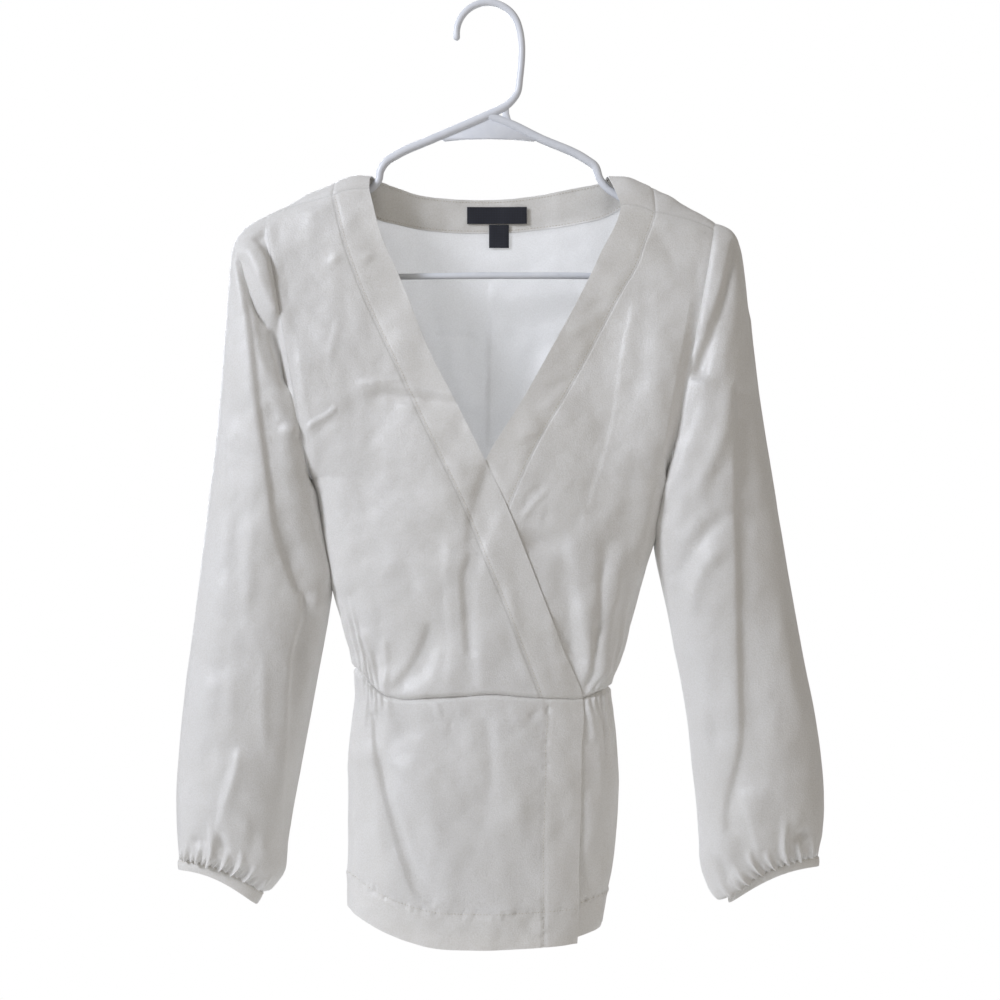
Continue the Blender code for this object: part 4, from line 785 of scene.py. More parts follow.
def fold_lift(name, x, z):
    """How far the named folds lift the cloth at places x and z."""
    lift = np.zeros(x.size)
    place = np.stack([x.ravel(), z.ravel()], -1)
    for kind, width, height, places in folds(name):
        line = curve(places, FOLD_STEP)
        edge = width * FOLD_REACH[kind]
        near = np.all((place > line.min(0) - edge) & (place < line.max(0) + edge), -1)
        if not near.any():
            continue
        start, along = line[:-1], np.diff(line, axis=0)
        from_start = place[near, None] - start
        share = np.clip(np.sum(from_start * along, -1) / np.sum(along**2, -1), 0, 1)
        away = np.linalg.norm(from_start - share[..., None] * along, axis=-1)
        nearest = away.argmin(-1)[:, None]
        cross = along[:, 0] * from_start[..., 1] - along[:, 1] * from_start[..., 0]
        left = np.sign(np.take_along_axis(cross, nearest, -1))[:, 0]
        distance = np.take_along_axis(away, nearest, -1)[:, 0]
        along_it = (nearest[:, 0] + np.take_along_axis(share, nearest, -1)[:, 0]) / len(along)
        fade = min(FOLD_FADE * width / length_along(line)[-1], 0.45)
        taper = ease(along_it, 0, fade) * ease(along_it, 1, 1 - fade)
        lift[near] += height * taper * fold_profile(kind, left * distance / width)
    return lift.reshape(x.shape)


def swell(points):
    """The soft unevenness of hung cloth at points, which is the same on each run."""
    lift = np.zeros(points.shape[:-1])
    flat = points.reshape(-1, 3)
    for size, height in SWELLS:
        values = [noise.noise(Vector(p / size)) for p in flat]
        lift += height * np.array(values).reshape(lift.shape)
    return lift


def distances(points):
    """How far each point of a grid lies from its four edges, measured along the grid."""
    down = np.linalg.norm(np.diff(points, axis=0), axis=2)
    across = np.linalg.norm(np.diff(points, axis=1), axis=2)
    top = np.vstack([np.zeros((1, points.shape[1])), np.cumsum(down, axis=0)])
    first = np.hstack([np.zeros((points.shape[0], 1)), np.cumsum(across, axis=1)])
    return {"top": top, "bottom": top[-1] - top, "first": first, "last": first[:, -1:] - first}


def dips(edges, **seams):
    """The grooves in which the cloth turns in to its seams; each edge is given its seam."""
    lift = 0.0
    for edge, seam in seams.items():
        depth, width = SEAMS[seam]
        lift = lift - depth * np.exp(-((edges[edge] / width) ** 2))
    return lift


def stitch_groove(edges, edge, away):
    """The groove that a row of stitches pulls into the cloth, at a distance from an edge."""
    return -GROOVE * np.exp(-(((edges[edge] - away) / GROOVE_WIDTH) ** 2))


def waist_gathers(kind, along, away, upwards):
    """The gathers at a waist seam: each is a ridge that fades away from the seam."""
    lift = np.zeros(away.shape)
    for place, width, height, above, below in WAIST_GATHERS[kind]:
        reach = above if upwards else below
        fade = (1 - ease(away, 0.1 * reach, reach)) * (0.3 + 0.7 * ease(away, 0, 4))
        wide = width * (1 + away / 40)
        lift += height * fade * np.exp(-(((along - place) / wide) ** 2))
    return lift


def along_waist(points, row, from_last=False):
    """How far along the waist seam each column of a grid starts, from a side seam."""
    length = length_along(points[row])
    return (length[-1] - length if from_last else length)[None, :]


# Meshes ------------------------------------------------------------------------------------------


def strip(a, b):
    """Quads between two rows of point numbers."""
    return np.stack([a[:-1], a[1:], b[1:], b[:-1]], -1)


def grid_faces(grid):
    """All quads of a grid of point numbers."""
    return np.concatenate([strip(grid[i], grid[i + 1]) for i in range(len(grid) - 1)])


def mesh_object(name, corners, faces, materials, second=()):
    """An object of a mesh given in millimetres, which rides on the frame; second names the faces
    that take its second material."""
    mesh = bpy.data.meshes.new(name)
    mesh.from_pydata((np.asarray(corners) * MM).tolist(), [], [tuple(face) for face in faces])
    for material in materials:
        mesh.materials.append(material)
    mesh.shade_smooth()
    mesh.set_sharp_from_angle(angle=SHARP)
    slots = np.zeros(len(mesh.polygons), int)
    slots[list(second)] = 1
    mesh.polygons.foreach_set("material_index", slots)
    item = bpy.data.objects.new(name, mesh)
    bpy.context.scene.collection.objects.link(item)
    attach(item, "root")
    return item


def shell(name, points, normals, grids, thickness, materials):
    """A thin wall about points that lie on joined grids, closed at its rims. Its inside takes the
    second material."""
    points, normals = points.reshape(-1, 3), normals.reshape(-1, 3)
    half = normals * np.reshape(thickness, (-1, 1)) / 2
    count = len(points)
    cells = np.concatenate([grid_faces(grid) for grid in grids])
    sides = np.concatenate([cells[:, [k, (k + 1) % 4]] for k in range(4)])
    both_ways = {tuple(side) for side in sides.tolist()}
    rim = [(a, b) for a, b in sides.tolist() if (b, a) not in both_ways]
    rims = np.array([(b, a, a + count, b + count) for a, b in rim])
    faces = np.concatenate([cells, cells[:, ::-1] + count, rims])
    corners = np.concatenate([points + half, points - half])
    middle = cells[len(cells) // 2]
    a, b, c = corners[middle[:3]]
    if np.dot(np.cross(b - a, c - a), normals[middle[0]]) < 0:
        faces = faces[:, ::-1]
    inside = range(len(cells), 2 * len(cells)) if len(materials) > 1 else ()
    return mesh_object(name, corners, faces.tolist(), materials, inside)


def whole_grid(points, closed=False):
    """The point numbers of a grid, with the first column again at the end if it closes round."""
    grid = np.arange(points.shape[0] * points.shape[1]).reshape(points.shape[:2])
    return np.hstack([grid, grid[:, :1]]) if closed else grid


def between(values, rows, columns):
    """Values of a grid at fractions of a row and a column."""
    r0 = np.clip(np.floor(rows).astype(int), 0, values.shape[0] - 2)
    c0 = np.clip(np.floor(columns).astype(int), 0, values.shape[1] - 2)
    r, c = (rows - r0)[:, None], (columns - c0)[:, None]
    near = values[r0, c0] * (1 - c) + values[r0, c0 + 1] * c
    far = values[r0 + 1, c0] * (1 - c) + values[r0 + 1, c0 + 1] * c
    return near * (1 - r) + far * r


def line_beside(cloth, edge, distance, start=0, stop=None):
    """A line of points, with directions out of the cloth, that keeps a distance from an edge."""
    away = cloth["edges"][edge]
    across = edge in ("first", "last")
    series = away if across else away.T
    lines = np.arange(len(series))[start:stop]
    at = []
    for line in lines:
        order = np.argsort(series[line])
        at.append(np.interp(distance, series[line][order], order))
    rows, columns = (lines, np.array(at)) if across else (np.array(at), lines)
    return between(cloth["points"], rows, columns), between(cloth["normals"], rows, columns)


def with_depth(lines, wall):
    """Lines of points with the thickness of the cloth that they run on."""
    return [(points, normals, wall) for points, normals in lines]


def stitches(name, lines, thread, inside=False):
    """Rows of short raised stitches along lines of points, on the outside or the inside."""
    corners, faces = [], []
    angles = np.linspace(0, 2 * math.pi, STITCH_SIDES, endpoint=False)
    for points, normals, depth in lines:
        out = -normals if inside else normals
        length = length_along(points)
        for at in np.arange(STITCH_PITCH, length[-1] - STITCH_PITCH, STITCH_PITCH):
            places = (at - STITCH_LENGTH / 2, at + STITCH_LENGTH / 2)
            a, b = (
                np.array([np.interp(p, length, points[:, k]) for k in range(3)]) for p in places
            )
            up = unit(np.array([np.interp(at, length, out[:, k]) for k in range(3)]))
            beside = np.cross(unit(b - a), up)
            ring = np.outer(np.cos(angles), beside * STITCH_WIDTH / 2)
            risen = np.outer(np.sin(angles) + STITCH_STAND, up * STITCH_RISE / 2)
            ring = ring + risen + up * depth / 2
            base = len(corners) * (2 * STITCH_SIDES + 2)
            near, far = a + STITCH_TAPER * (b - a), a + (1 - STITCH_TAPER) * (b - a)
            corners.append(np.concatenate([[a], near + ring, far + ring, [b]]))
            for k in range(STITCH_SIDES):
                m = (k + 1) % STITCH_SIDES
                near_k, near_m = base + 1 + k, base + 1 + m
                far_k, far_m = near_k + STITCH_SIDES, near_m + STITCH_SIDES
                last = base + 2 * STITCH_SIDES + 1
                faces += [(base, near_m, near_k, near_k), (near_k, near_m, far_m, far_k)]
                faces += [(far_k, far_m, last, last)]
    faces = [face[:3] if face[3] in face[:3] else face for face in faces]
    return mesh_object(name, np.concatenate(corners), faces, [thread])


# The bodice --------------------------------------------------------------------------------------


def lay(points, normals, lift, thickness):
    """A piece of cloth on its grid: lifted points, directions out of it, edges and thickness."""
    points = points + normals * lift[..., None]
    down, across = np.gradient(points, axis=0), np.gradient(points, axis=1)
    turned = unit(np.cross(across, down))
    turned = np.where(np.sum(turned * normals, -1, keepdims=True) < 0, -turned, turned)
    for edge in (np.s_[0], np.s_[-1], np.s_[:, 0], np.s_[:, -1]):
        turned[edge] = normals[edge]
    thickness = np.broadcast_to(thickness, lift.shape)
    return {"points": points, "normals": turned, "edges": distances(points), "thickness": thickness}


def sew(name, cloth, materials, node):
    """Makes the object of a piece of cloth, which stands for its node, and hides that node's solid."""
    grids = cloth.get("grids") or [whole_grid(cloth["points"])]
    piece = shell(name, cloth["points"], cloth["normals"], grids, cloth["thickness"], materials)
    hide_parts(node)
    return piece


def front_places(hand):
    """Places x and z of a front's grid, from its armhole and side seam to its band seam."""
    side_places, down = side_rows(hand, WAIST_FRONT, -1)
    seam, _ = front_seams(hand)
    seam_reach = np.stack([seam[:, 0], -reach_at(seam[:, 0], seam[:, 1])], -1)
    corners = shoulder_seam(hand)
    shares = spread(FRONT_COLUMNS, False) * (len(corners) - 1)
    top = through(corners, range(len(corners)), shares)
    x = seam_stations(WAIST_FRONT, -1, hand, seam[-1, 0], FRONT_COLUMNS)
    bottom = np.stack([x, -reach_at(x, smooth(WAIST_FRONT, x))], -1)
    places = patch(top, bottom, side_places, seam_reach, down)
    return places[..., 0], height_at(places[..., 0], places[..., 1])


def lapped_folds(part, hand, x, z):
    """The folds of a front or a peplum. Behind the lap the left one has those of the right one."""
    if hand < 0:
        return fold_lift(part + "_right", x, z)
    own = ease(x - smooth(LAP_EDGE, z), *LAP_BLEND)
    return fold_lift(part + "_left", x, z) * own + fold_lift(part + "_right", x, z) * (1 - own)


def overhang(away, from_side):
    """The cloth above the waist seam, which blouses out over it, but less towards its sides."""
    return hump(away, 0, 4, 4, OVERHANG_LENGTH, OVERHANG) * ease(from_side, *OVERHANG_SIDE)


def front_cloth(hand):
    """A front of the bodice. The left front lies behind the right one at the lap."""
    kind = "over" if hand < 0 else "under"
    x, z = front_places(hand)
    points, normals = on_form(x, z, -1)
    edges = distances(points)
    level = ease(edges["top"], *RISE["shoulder"]) * ease(edges["bottom"], *RISE["waist"])
    level = level * ease(edges["first"], *RISE["front side"])
    lift = (lapped_folds("front", hand, x, z) + swell(points)) * level
    lift = lift + waist_gathers(kind, along_waist(points, -1), edges["bottom"], True)
    lift = lift + overhang(edges["bottom"], edges["first"])
    lift = lift + dips(edges, top="shoulder", bottom="waist", first="armhole", last="band")
    if hand > 0:
        lift = lift + under_lap(x, z)
    return lay(points, normals, lift, CREPE_WALL)


def band_cloth(hand):
    """A front neck band, from its seam to the neck edge and from the shoulder to the waist."""
    seam, edge = front_seams(hand)
    t = (1 - np.cos(np.linspace(0, math.pi, BAND_COLUMNS + 1)))[None, :] / 2
    x = seam[:, :1] * (1 - t) + edge[:, :1] * t
    z = seam[:, 1:] * (1 - t) + edge[:, 1:] * t
    z[-1] = smooth(WAIST_FRONT, x[-1])
    row = NECK_BACK[0] if hand < 0 else NECK_BACK[-1]
    shoulder = height_at(x[0], row[1] * (1 - t[0]) + row[3] * t[0]) - z[0]
    z = z + shoulder * (1 - ease(z[0, 0] - z, 0, SHOULDER_BLEND))
    points, normals = on_form(x, z, -1)
    edges = distances(points)
    level = ease(edges["top"], *RISE["shoulder"]) * ease(edges["bottom"], *RISE["waist"])
    lift = (lapped_folds("front", hand, x, z) + swell(points)) * level
    lift = lift + overhang(edges["bottom"], OVERHANG_SIDE[1])
    lift = lift + dips(edges, top="shoulder", bottom="waist", first="band")
    lift = lift + stitch_groove(edges, "first", TOPSTITCH)
    if hand > 0:
        lift = lift + under_lap(x, z)
    return lay(points, normals, lift, DOUBLE_WALL)


def back_band_cloth():
    """The back neck band, from one shoulder seam behind the neck to the other."""
    table = finer(NECK_BACK, PARTS)
    t = (1 - np.cos(np.linspace(0, math.pi, BAND_COLUMNS + 1)))[:, None] / 2
    x = table[:, 0] * (1 - t) + table[:, 2] * t
    reach = table[:, 1] * (1 - t) + table[:, 3] * t
    points, normals = on_form(x, height_at(x, reach), np.where(reach < 0, -1, 1))
    edges = distances(points)
    level = ease(edges["first"], *RISE["shoulder"]) * ease(edges["last"], *RISE["shoulder"])
    lift = swell(points) * level + dips(edges, top="neck", first="shoulder", last="shoulder")
    return lay(points, normals, lift, DOUBLE_WALL)


def back_stations():
    """Places along the back's waist seam, one for each column of the back."""
    right = seam_stations(WAIST_BACK, 1, -1, 0.0, BACK_HALF_COLUMNS)
    left = seam_stations(WAIST_BACK, 1, 1, 0.0, BACK_HALF_COLUMNS)
    return np.concatenate([right, left[::-1][1:]])


def back_cloth():
    """The back, in three parts: below the straps, and the strap over each shoulder."""
    neck = finer(NECK_BACK, PARTS)[:, :2]
    right, down = side_rows(-1, WAIST_BACK, 1)
    left, _ = side_rows(1, WAIST_BACK, 1)
    cut = STRAP_ROWS * PARTS
    seam_r, seam_l = finer(shoulder_seam(-1), PARTS), finer(shoulder_seam(1)[::-1], PARTS)
    t = np.linspace(0, 1, len(seam_r))[:, None]
    foot_r = right[cut] * (1 - t) + neck[cut] * t
    foot_l = neck[-1 - cut] * (1 - t) + left[cut] * t
    share = np.linspace(0, 1, cut + 1)
    strap_r = patch(seam_r, foot_r, right[:cut + 1], neck[:cut + 1], share)
    strap_l = patch(seam_l, foot_l, neck[::-1][:cut + 1], left[:cut + 1], share)
    x = back_stations()
    bottom = np.stack([x, reach_at(x, smooth(WAIST_BACK, x))], -1)
    top = np.concatenate([foot_r, neck[cut + 1:-1 - cut], foot_l])
    rest = (down[cut:] - down[cut]) / (1 - down[cut])
    main = patch(top, bottom, right[cut:], left[cut:], rest)
    wide = len(seam_r)

    parts = []
    for places, arm, inner in (
        (main, None, None), (strap_r, "first", "last"), (strap_l, "last", "first")
    ):
        x, reach = places[..., 0], places[..., 1]
        z = height_at(x, reach)
        points, normals = on_form(x, z, np.where(reach < 0, -1, 1))
        edges = distances(points)
        if arm:
            level = ease(edges["top"], *RISE["shoulder"]) * ease(edges[arm], *RISE["strap"])
            lift = swell(points) * level
            lift = lift + dips(edges, top="shoulder", **{arm: "armhole", inner: "neck"})
        else:
            edges["top"] = edges["top"] + neck_distance(edges, wide)
            from_side = np.minimum(edges["first"], edges["last"])
            level = ease(from_side, *RISE["side"]) * ease(edges["bottom"], *RISE["waist"])
            lift = (fold_lift("back", x, z) + swell(points)) * level
            for from_last in (False, True):
                along = along_waist(points, -1, from_last)
                lift = lift + waist_gathers("back", along, edges["bottom"], True)
            lift = lift + overhang(edges["bottom"], from_side)
            lift = lift + dips(edges, top="neck", bottom="waist", first="armhole", last="armhole")
        parts.append(lay(points, normals, lift, CREPE_WALL))
    return joined(parts, cut, wide)


def joined(parts, cut, wide):
    """The back's parts as one piece: each strap ends in the first row of the main part."""
    whole = {"edges": parts[0]["edges"]}
    for key in ("points", "normals", "thickness"):
        rows = [parts[0][key], parts[1][key][:-1], parts[2][key][:-1]]
        whole[key] = np.concatenate([r.reshape(-1, *r.shape[2:]) for r in rows])
    grid = whole_grid(parts[0]["points"])
    strap = np.arange(cut * wide).reshape(cut, wide)
    right, left = grid.size + strap, grid.size + strap.size + strap
    whole["grids"] = [grid, np.vstack([right, grid[0, :wide]]), np.vstack([left, grid[0, -wide:]])]
    return whole


def neck_distance(edges, wide):
    """More than any seam's width under the straps, where the main part's top is no seam."""
    far = np.zeros(edges["top"].shape)
    across_r, across_l = edges["first"][:, wide - 1:wide], edges["last"][:, -wide:1 - wide]
    far[:, :wide] = np.maximum(across_r - edges["first"][:, :wide], 0)
    far[:, -wide:] = np.maximum(across_l - edges["last"][:, -wide:], 0)
    return far


# The peplum --------------------------------------------------------------------------------------


def doubled(edges, placket):
    """Where a turned hem or placket makes the cloth double: 1 there and 0 elsewhere."""
    much = 1 - ease(edges["bottom"], HEM_WIDTH, HEM_WIDTH + TURN_EDGE)
    if placket:
        much = np.maximum(much, 1 - ease(edges["last"], placket, placket + TURN_EDGE))
    return much


def pucker(edges, points, placket):
    """The small waves that the stitching draws into a hem and a placket."""
    near = np.exp(-(((edges["bottom"] - HEM_WIDTH) / PUCKER_WIDTH) ** 2))
    if placket:
        beside = np.exp(-(((edges["last"] - placket) / PUCKER_WIDTH) ** 2))
        near = np.maximum(near, PLACKET_PUCKER * beside)
    flat = points.reshape(-1, 3) / PUCKER_LENGTH
    waves = np.array([noise.noise(Vector(p)) for p in flat]).reshape(near.shape)
    return PUCKER * waves * near


def peplum_cloth(side, top_x, waist, hem, ends, creased, gathered, placket=0.0):
    """A piece of the peplum, from the waist seam to the hem.

    An end is its side seam's hand, or 0 for a free edge, and a function from a height to x.
    """
    down = finer(PEPLUM_ROWS, PARTS)
    edges = []
    for _, at in ends:
        start, stop = float(smooth(waist, at(WAIST_SIDE))), float(smooth(hem, at(HEM_HEIGHT)))
        z = start + (stop - start) * down
        edges.append(np.stack([at(z), z], -1))
    top = np.stack([top_x, smooth(waist, top_x)], -1)
    first, last = edges
    first[0], last[0] = top[0], top[-1]
    x = hem_stations(side, hem, first[-1, 0], last[-1, 0], top_x)
    bottom = np.stack([x, smooth(hem, x)], -1)
    first[-1], last[-1] = bottom[0], bottom[-1]
    places = patch(top, bottom, first, last, down)
    x, z = places[..., 0], places[..., 1]
    points, normals = on_form(x, z, side)
    seams = {"top": "waist"}
    edges = distances(points)
    level = ease(edges["top"], *RISE["waist"])
    for seam, column, (hand, _) in zip(("first", "last"), (0, -1), ends):
        if hand:
            normals[:, column] = (hand, 0, 0)
            seams[seam] = "side"
            level = level * ease(edges[seam], *RISE["side"])
    wrapped = creased in ("peplum_right", "peplum_left")
    creases = lapped_folds("peplum", ends[0][0], x, z) if wrapped else fold_lift(creased, x, z)
    lift = (creases + swell(points)) * level
    for kind, from_last in gathered:
        along = along_waist(points, 0, from_last)
        lift = lift + waist_gathers(kind, along, edges["top"], False)
    lift = lift + dips(edges, **seams) + pucker(edges, points, placket)
    lift = lift + stitch_groove(edges, "bottom", HEM_WIDTH)
    if placket:
        lift = lift + stitch_groove(edges, "last", placket)
    if creased == "peplum_left":
        lift = lift + under_lap(x, z)
    much = doubled(edges, placket)
    return lay(points, normals, lift, CREPE_WALL + (DOUBLE_WALL - CREPE_WALL) * much)


def hem_stations(side, hem, start_x, end_x, top_x):
    """Places along a hem, half of the way between evenly spread and spread as the waist seam is."""
    t = (1 - np.cos(np.linspace(0, math.pi, SAMPLES))) / 2
    x = start_x + (end_x - start_x) * t
    length = length_along(on_form(x, smooth(hem, x), side)[0])
    even = np.linspace(0, 1, len(top_x))
    as_above = np.abs(top_x - top_x[0]) / abs(top_x[-1] - top_x[0])
    return np.interp((even + as_above) / 2 * length[-1], length, x)


def front_waist_x(hand):
    """Places along a front's waist seam, over its bodice and its neck band."""
    seam, edge = front_seams(hand)
    bodice = seam_stations(WAIST_FRONT, -1, hand, seam[-1, 0], FRONT_COLUMNS)
    band = np.linspace(seam[-1, 0], edge[-1, 0], BAND_COLUMNS + 1)
    return np.concatenate([bodice, band[1:]])


# Sleeves and cuffs -------------------------------------------------------------------------------


def ring_points(row, angles):
    """A ring of a sleeve or a cuff; the angle is nothing at its outer end and grows in front."""
    outer, inner, depth = np.array(row[:2], float), np.array(row[2:4], float), row[4]
    share = (1 - np.cos(angles)) / 2
    place = outer + (inner - outer) * share[:, None]
    height = place[:, 1] + row[5] * np.sin(angles) ** 2
    return np.stack([place[:, 0], -depth * np.sin(angles), height], -1)


def plane_directions(ring, across):
    """Directions out of a ring that stay in the plane to which across is square."""
    tangent = np.roll(ring, -1, axis=0) - np.roll(ring, 1, axis=0)
    out = unit(np.cross(tangent, across))
    return out if np.sum(out * (ring - ring.mean(axis=0))) > 0 else -out


def cuff_direction(row):
    """The way down a wrist, square to the cuff seam."""
    along = unit(np.array([row[2] - row[0], 0.0, row[3] - row[1]]))
    down = np.cross(along, np.array([0.0, 1.0, 0.0]))
    return down if down[2] < 0 else -down


def ring_lengths(ring):
    """How far round a closed ring each point lies, and the ring's whole length."""
    closed = length_along(np.vstack([ring, ring[:1]]))
    return closed[:-1], closed[-1]


def cuff_gathers(angles, ring, away):
    """The gathers above a cuff, all round: the back's are the front's, turned about."""
    around, whole = ring_lengths(ring)
    lift = np.zeros(away.shape)
    for share, width, height, length in CUFF_GATHERS:
        turn = math.acos(1 - 2 * share)
        for angle in (turn, 2 * math.pi - math.acos(2 * share - 1)):
            middle = np.interp(angle, angles, around)
            apart = np.abs((around - middle + whole / 2) % whole - whole / 2)[None, :]
            fade = (1 - ease(away, 0.15 * length, length)) * (0.25 + 0.75 * ease(away, 0, 4))
            lift += height * fade * np.exp(-((apart / (width * (1 + away / 50))) ** 2))
    return lift


def sleeve_cloth(hand, table, creased):
    """A sleeve from its armhole to its cuff seam, where it is gathered."""
    angles = np.linspace(0, 2 * math.pi, SLEEVE_COLUMNS, endpoint=False)
    rows = finer(table, SLEEVE_PARTS)
    points = np.array([ring_points(row, angles) for row in rows])
    armhole = points[0].copy()
    front = np.where(np.sin(angles) >= 0, -1, 1)
    half = np.sqrt(depth_squared(armhole[:, 0], armhole[:, 2]))
    half[0] = half[SLEEVE_COLUMNS // 2] = 0
    own = np.abs(armhole[:, 1])
    for k, blend in enumerate(finer(HEAD_BLEND, SLEEVE_PARTS[:4])):
        wide = own * rows[k][4] / rows[0][4]
        points[k, :, 1] = front * (half * (1 - blend) + wide * blend)
    across = unit(np.array([1.0, 0.0, -ARM_PLANE[hand][2]]))
    low = ease(np.abs(armhole[:, 2] - UNDERARM), UNDERARM_BLEND, 0)[:, None]
    points[0] += hand * across * low * UNDERARM_CLEAR
    ring = np.roll(points, -1, axis=1) - np.roll(points, 1, axis=1)
    normals = unit(np.cross(ring, np.gradient(points, axis=0)))
    if np.sum(normals * (points - points.mean(axis=1, keepdims=True))) < 0:
        normals = -normals
    in_plane = plane_directions(points[0], across)
    normals[0] = unit(in_plane * (1 - low) - hand * across * low)
    normals[-1] = plane_directions(points[-1], cuff_direction(rows[-1]))
    edges = distances(points)
    level = ease(edges["top"], *RISE["sleeve head"]) * ease(edges["bottom"], *RISE["cuff"])
    share = np.sin(angles)[None, :]
    lift = fold_lift(creased, points[..., 0], points[..., 2]) * np.clip(share, 0, 1) ** 0.5
    behind = fold_lift(creased + "_back", points[..., 0], points[..., 2])
    lift = lift + behind * np.clip(-share, 0, 1) ** 0.5
    lift = (lift + swell(points) * np.abs(share) ** 0.7) * level
    lift = lift + dips(edges, top="armhole", bottom="cuff")
    lift = lift + cuff_gathers(angles, points[-1], edges["bottom"])
    full = hump(edges["bottom"], *BLOUSE_REACH)
    blouse = BLOUSE[hand] * full * ease(-np.cos(angles), 0.1, 1)[None, :]
    points[..., 2] -= SAG * blouse
    lift = lift + blouse
    lift = lift + hump(edges["top"], *PUFF_REACH, HEAD_PUFF)
    points = points + normals * lift[..., None]
    points[..., 0] = beside_body(hand, points, (1 - np.cos(angles)) / 2)
    return ring_of_cloth(points, normals, np.zeros(lift.shape), CREPE_WALL)


def beside_body(hand, points, inward):
    """The places x of a sleeve whose inner edge leans on the side of the body below the arm."""
    x, y, z = np.moveaxis(points, -1, 0)
    below = UNDERARM - z
    lean = LEAN * ease(below, *LEAN_START) * (1 - ease(below, *LEAN_END[hand]))
    lean = lean * ease(inward, *LEAN_INNER)
    side, free = side_x(hand, z), np.maximum(np.abs(y) - BESIDE, 0)
    inner, outer = side - hand * LEAN_SEARCH, side + hand * BESIDE
    for _ in range(HALVINGS):
        middle = (inner + outer) / 2
        inside = depth_squared(middle, z) > free**2
        inner, outer = np.where(inside, middle, inner), np.where(inside, outer, middle)
    leaning = (below > 0) & (z > PRESSED_TO)
    return np.where(leaning, hand * np.maximum(hand * x - lean, hand * outer), x)


def ring_of_cloth(points, normals, lift, thickness):
    """Cloth on a grid that closes round, as lay gives it for an open one."""
    cloth = lay(points, normals, lift, thickness)
    cloth["normals"][:, (0, -1)] = normals[:, (0, -1)]
    cloth["grids"] = [whole_grid(points, closed=True)]
    return cloth


def cuff_cloth(seam, hem):
    """A narrow cuff between the sleeve's last ring and its own lower ring, softly rounded."""
    angles = np.linspace(0, 2 * math.pi, SLEEVE_COLUMNS, endpoint=False)
    t = (1 - np.cos(np.linspace(0, math.pi, CUFF_ROWS + 1)))[:, None, None] / 2
    upper, lower = ring_points(seam[:6], angles), ring_points(hem, angles)
    points = upper * (1 - t) + lower * t
    normals = np.array([plane_directions(upper, cuff_direction(seam))] * len(t))
    edges = distances(points)
    lift = CUFF_ROUND * np.sin(math.pi * t[..., 0]) * np.ones(edges["top"].shape)
    lift = lift + dips(edges, top="cuff") + 0.2 * swell(points) * ease(edges["top"], 0, 4)
    return ring_of_cloth(points, normals, lift, CUFF_WALL)


# Labels ------------------------------------------------------------------------------------------


def label_cloth(spec, lift_in_front):
    """A woven label that lies on the inside of the back, with its ends turned under."""
    middle, top, width, height = spec
    x = np.linspace(middle - width / 2, middle + width / 2, round(width) + 1)[None, :]
    z = np.linspace(top, top - height, round(height) + 1)[:, None]
    x, z = np.broadcast_arrays(x, z)
    points, normals = on_form(x, z, 1)
    edges = distances(points)
    ends = np.minimum(edges["first"], edges["last"])
    lift = -lift_in_front - 0.35 * ease(ends, 0, 3) + 0.25 * swell(points * 2)
    return lay(points, normals, lift, LABEL_WALL)


# The hanger --------------------------------------------------------------------------------------


def tube(path):
    """Corners and faces of a tube with a radius at each place x and z of its path."""
    centre = np.stack([path[:, 0], np.zeros(len(path)), path[:, 1]], -1)
    ahead = unit(np.gradient(centre, axis=0))
    beside = np.array([0.0, 1.0, 0.0])
    angles = np.linspace(0, 2 * math.pi, TUBE_SIDES, endpoint=False)
    rings = []
    for point, way, radius in zip(centre, ahead, path[:, 2]):
        out = np.cross(way, beside)
        rim = np.outer(np.cos(angles), out) + np.outer(np.sin(angles), beside)
        rings.append(point + radius * rim)
    rings = np.array(rings)
    ends = []
    for ring, way in ((rings[0], -ahead[0]), (rings[-1], ahead[-1])):
        middle = ring.mean(axis=0)
        reach = np.linalg.norm(ring[0] - middle)
        cap = [middle + way * reach * math.sin(a) + (ring - middle) * math.cos(a) for a in CAP_ANGLES]
        ends.append(np.array(cap))
    rings = np.concatenate([ends[0][::-1], rings, ends[1]])
    grid = whole_grid(rings, closed=True)
    faces = [tuple(face) for face in grid_faces(grid).tolist()]
    faces.append(tuple(reversed(grid[0, :-1].tolist())))
    faces.append(tuple(grid[-1, :-1].tolist()))
    return rings.reshape(-1, 3), faces


def plate(outline):
    """Corners and faces of a flat web of the hanger, with its rim rounded a little."""
    outline = np.array(outline, float)
    middle = outline.mean(axis=0)
    layers = []
    for y, inset in ((-0.5, 0.4), (-0.38, 0.0), (0.38, 0.0), (0.5, 0.4)):
        way = unit(middle - outline)
        at = outline + way * inset
        layers.append(np.stack([at[:, 0], np.full(len(at), y * WEB_WALL), at[:, 1]], -1))
    layers = np.array(layers)
    grid = whole_grid(layers, closed=True)
    faces = [tuple(face) for face in grid_faces(grid).tolist()]
    faces += [tuple(reversed(grid[0, :-1].tolist())), tuple(grid[-1, :-1].tolist())]
    return layers.reshape(-1, 3), faces


def hanger(plastic):
    """The moulded hanger: hook, arms with strap notches, bar and webs."""
    hook = []
    for k in range(HOOK_STEPS + 1):
        turn = math.radians(HOOK_START + HOOK_SWEEP * k / HOOK_STEPS)
        x, z = -HOOK_RADIUS * math.cos(turn), HOOK_RADIUS * (math.sin(turn) - 1)
        hook.append((x, z, TUBE))
    corners, faces = [], []
    parts = [tube(curve(hook + list(SHANK_AND_ARM), TUBE_STEP)), tube(curve(OTHER_ARM, TUBE_STEP))]
    for more_corners, more_faces in parts + [plate(WEB_UNDER), plate(WEB_BESIDE)]:
        base = sum(len(c) for c in corners)
        corners.append(more_corners)
        faces += [tuple(base + n for n in face) for face in more_faces]
    piece = mesh_object("hanger_moulding", np.concatenate(corners), faces, [plastic])
    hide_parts("hanger")
    return piece


# Materials ---------------------------------------------------------------------------------------


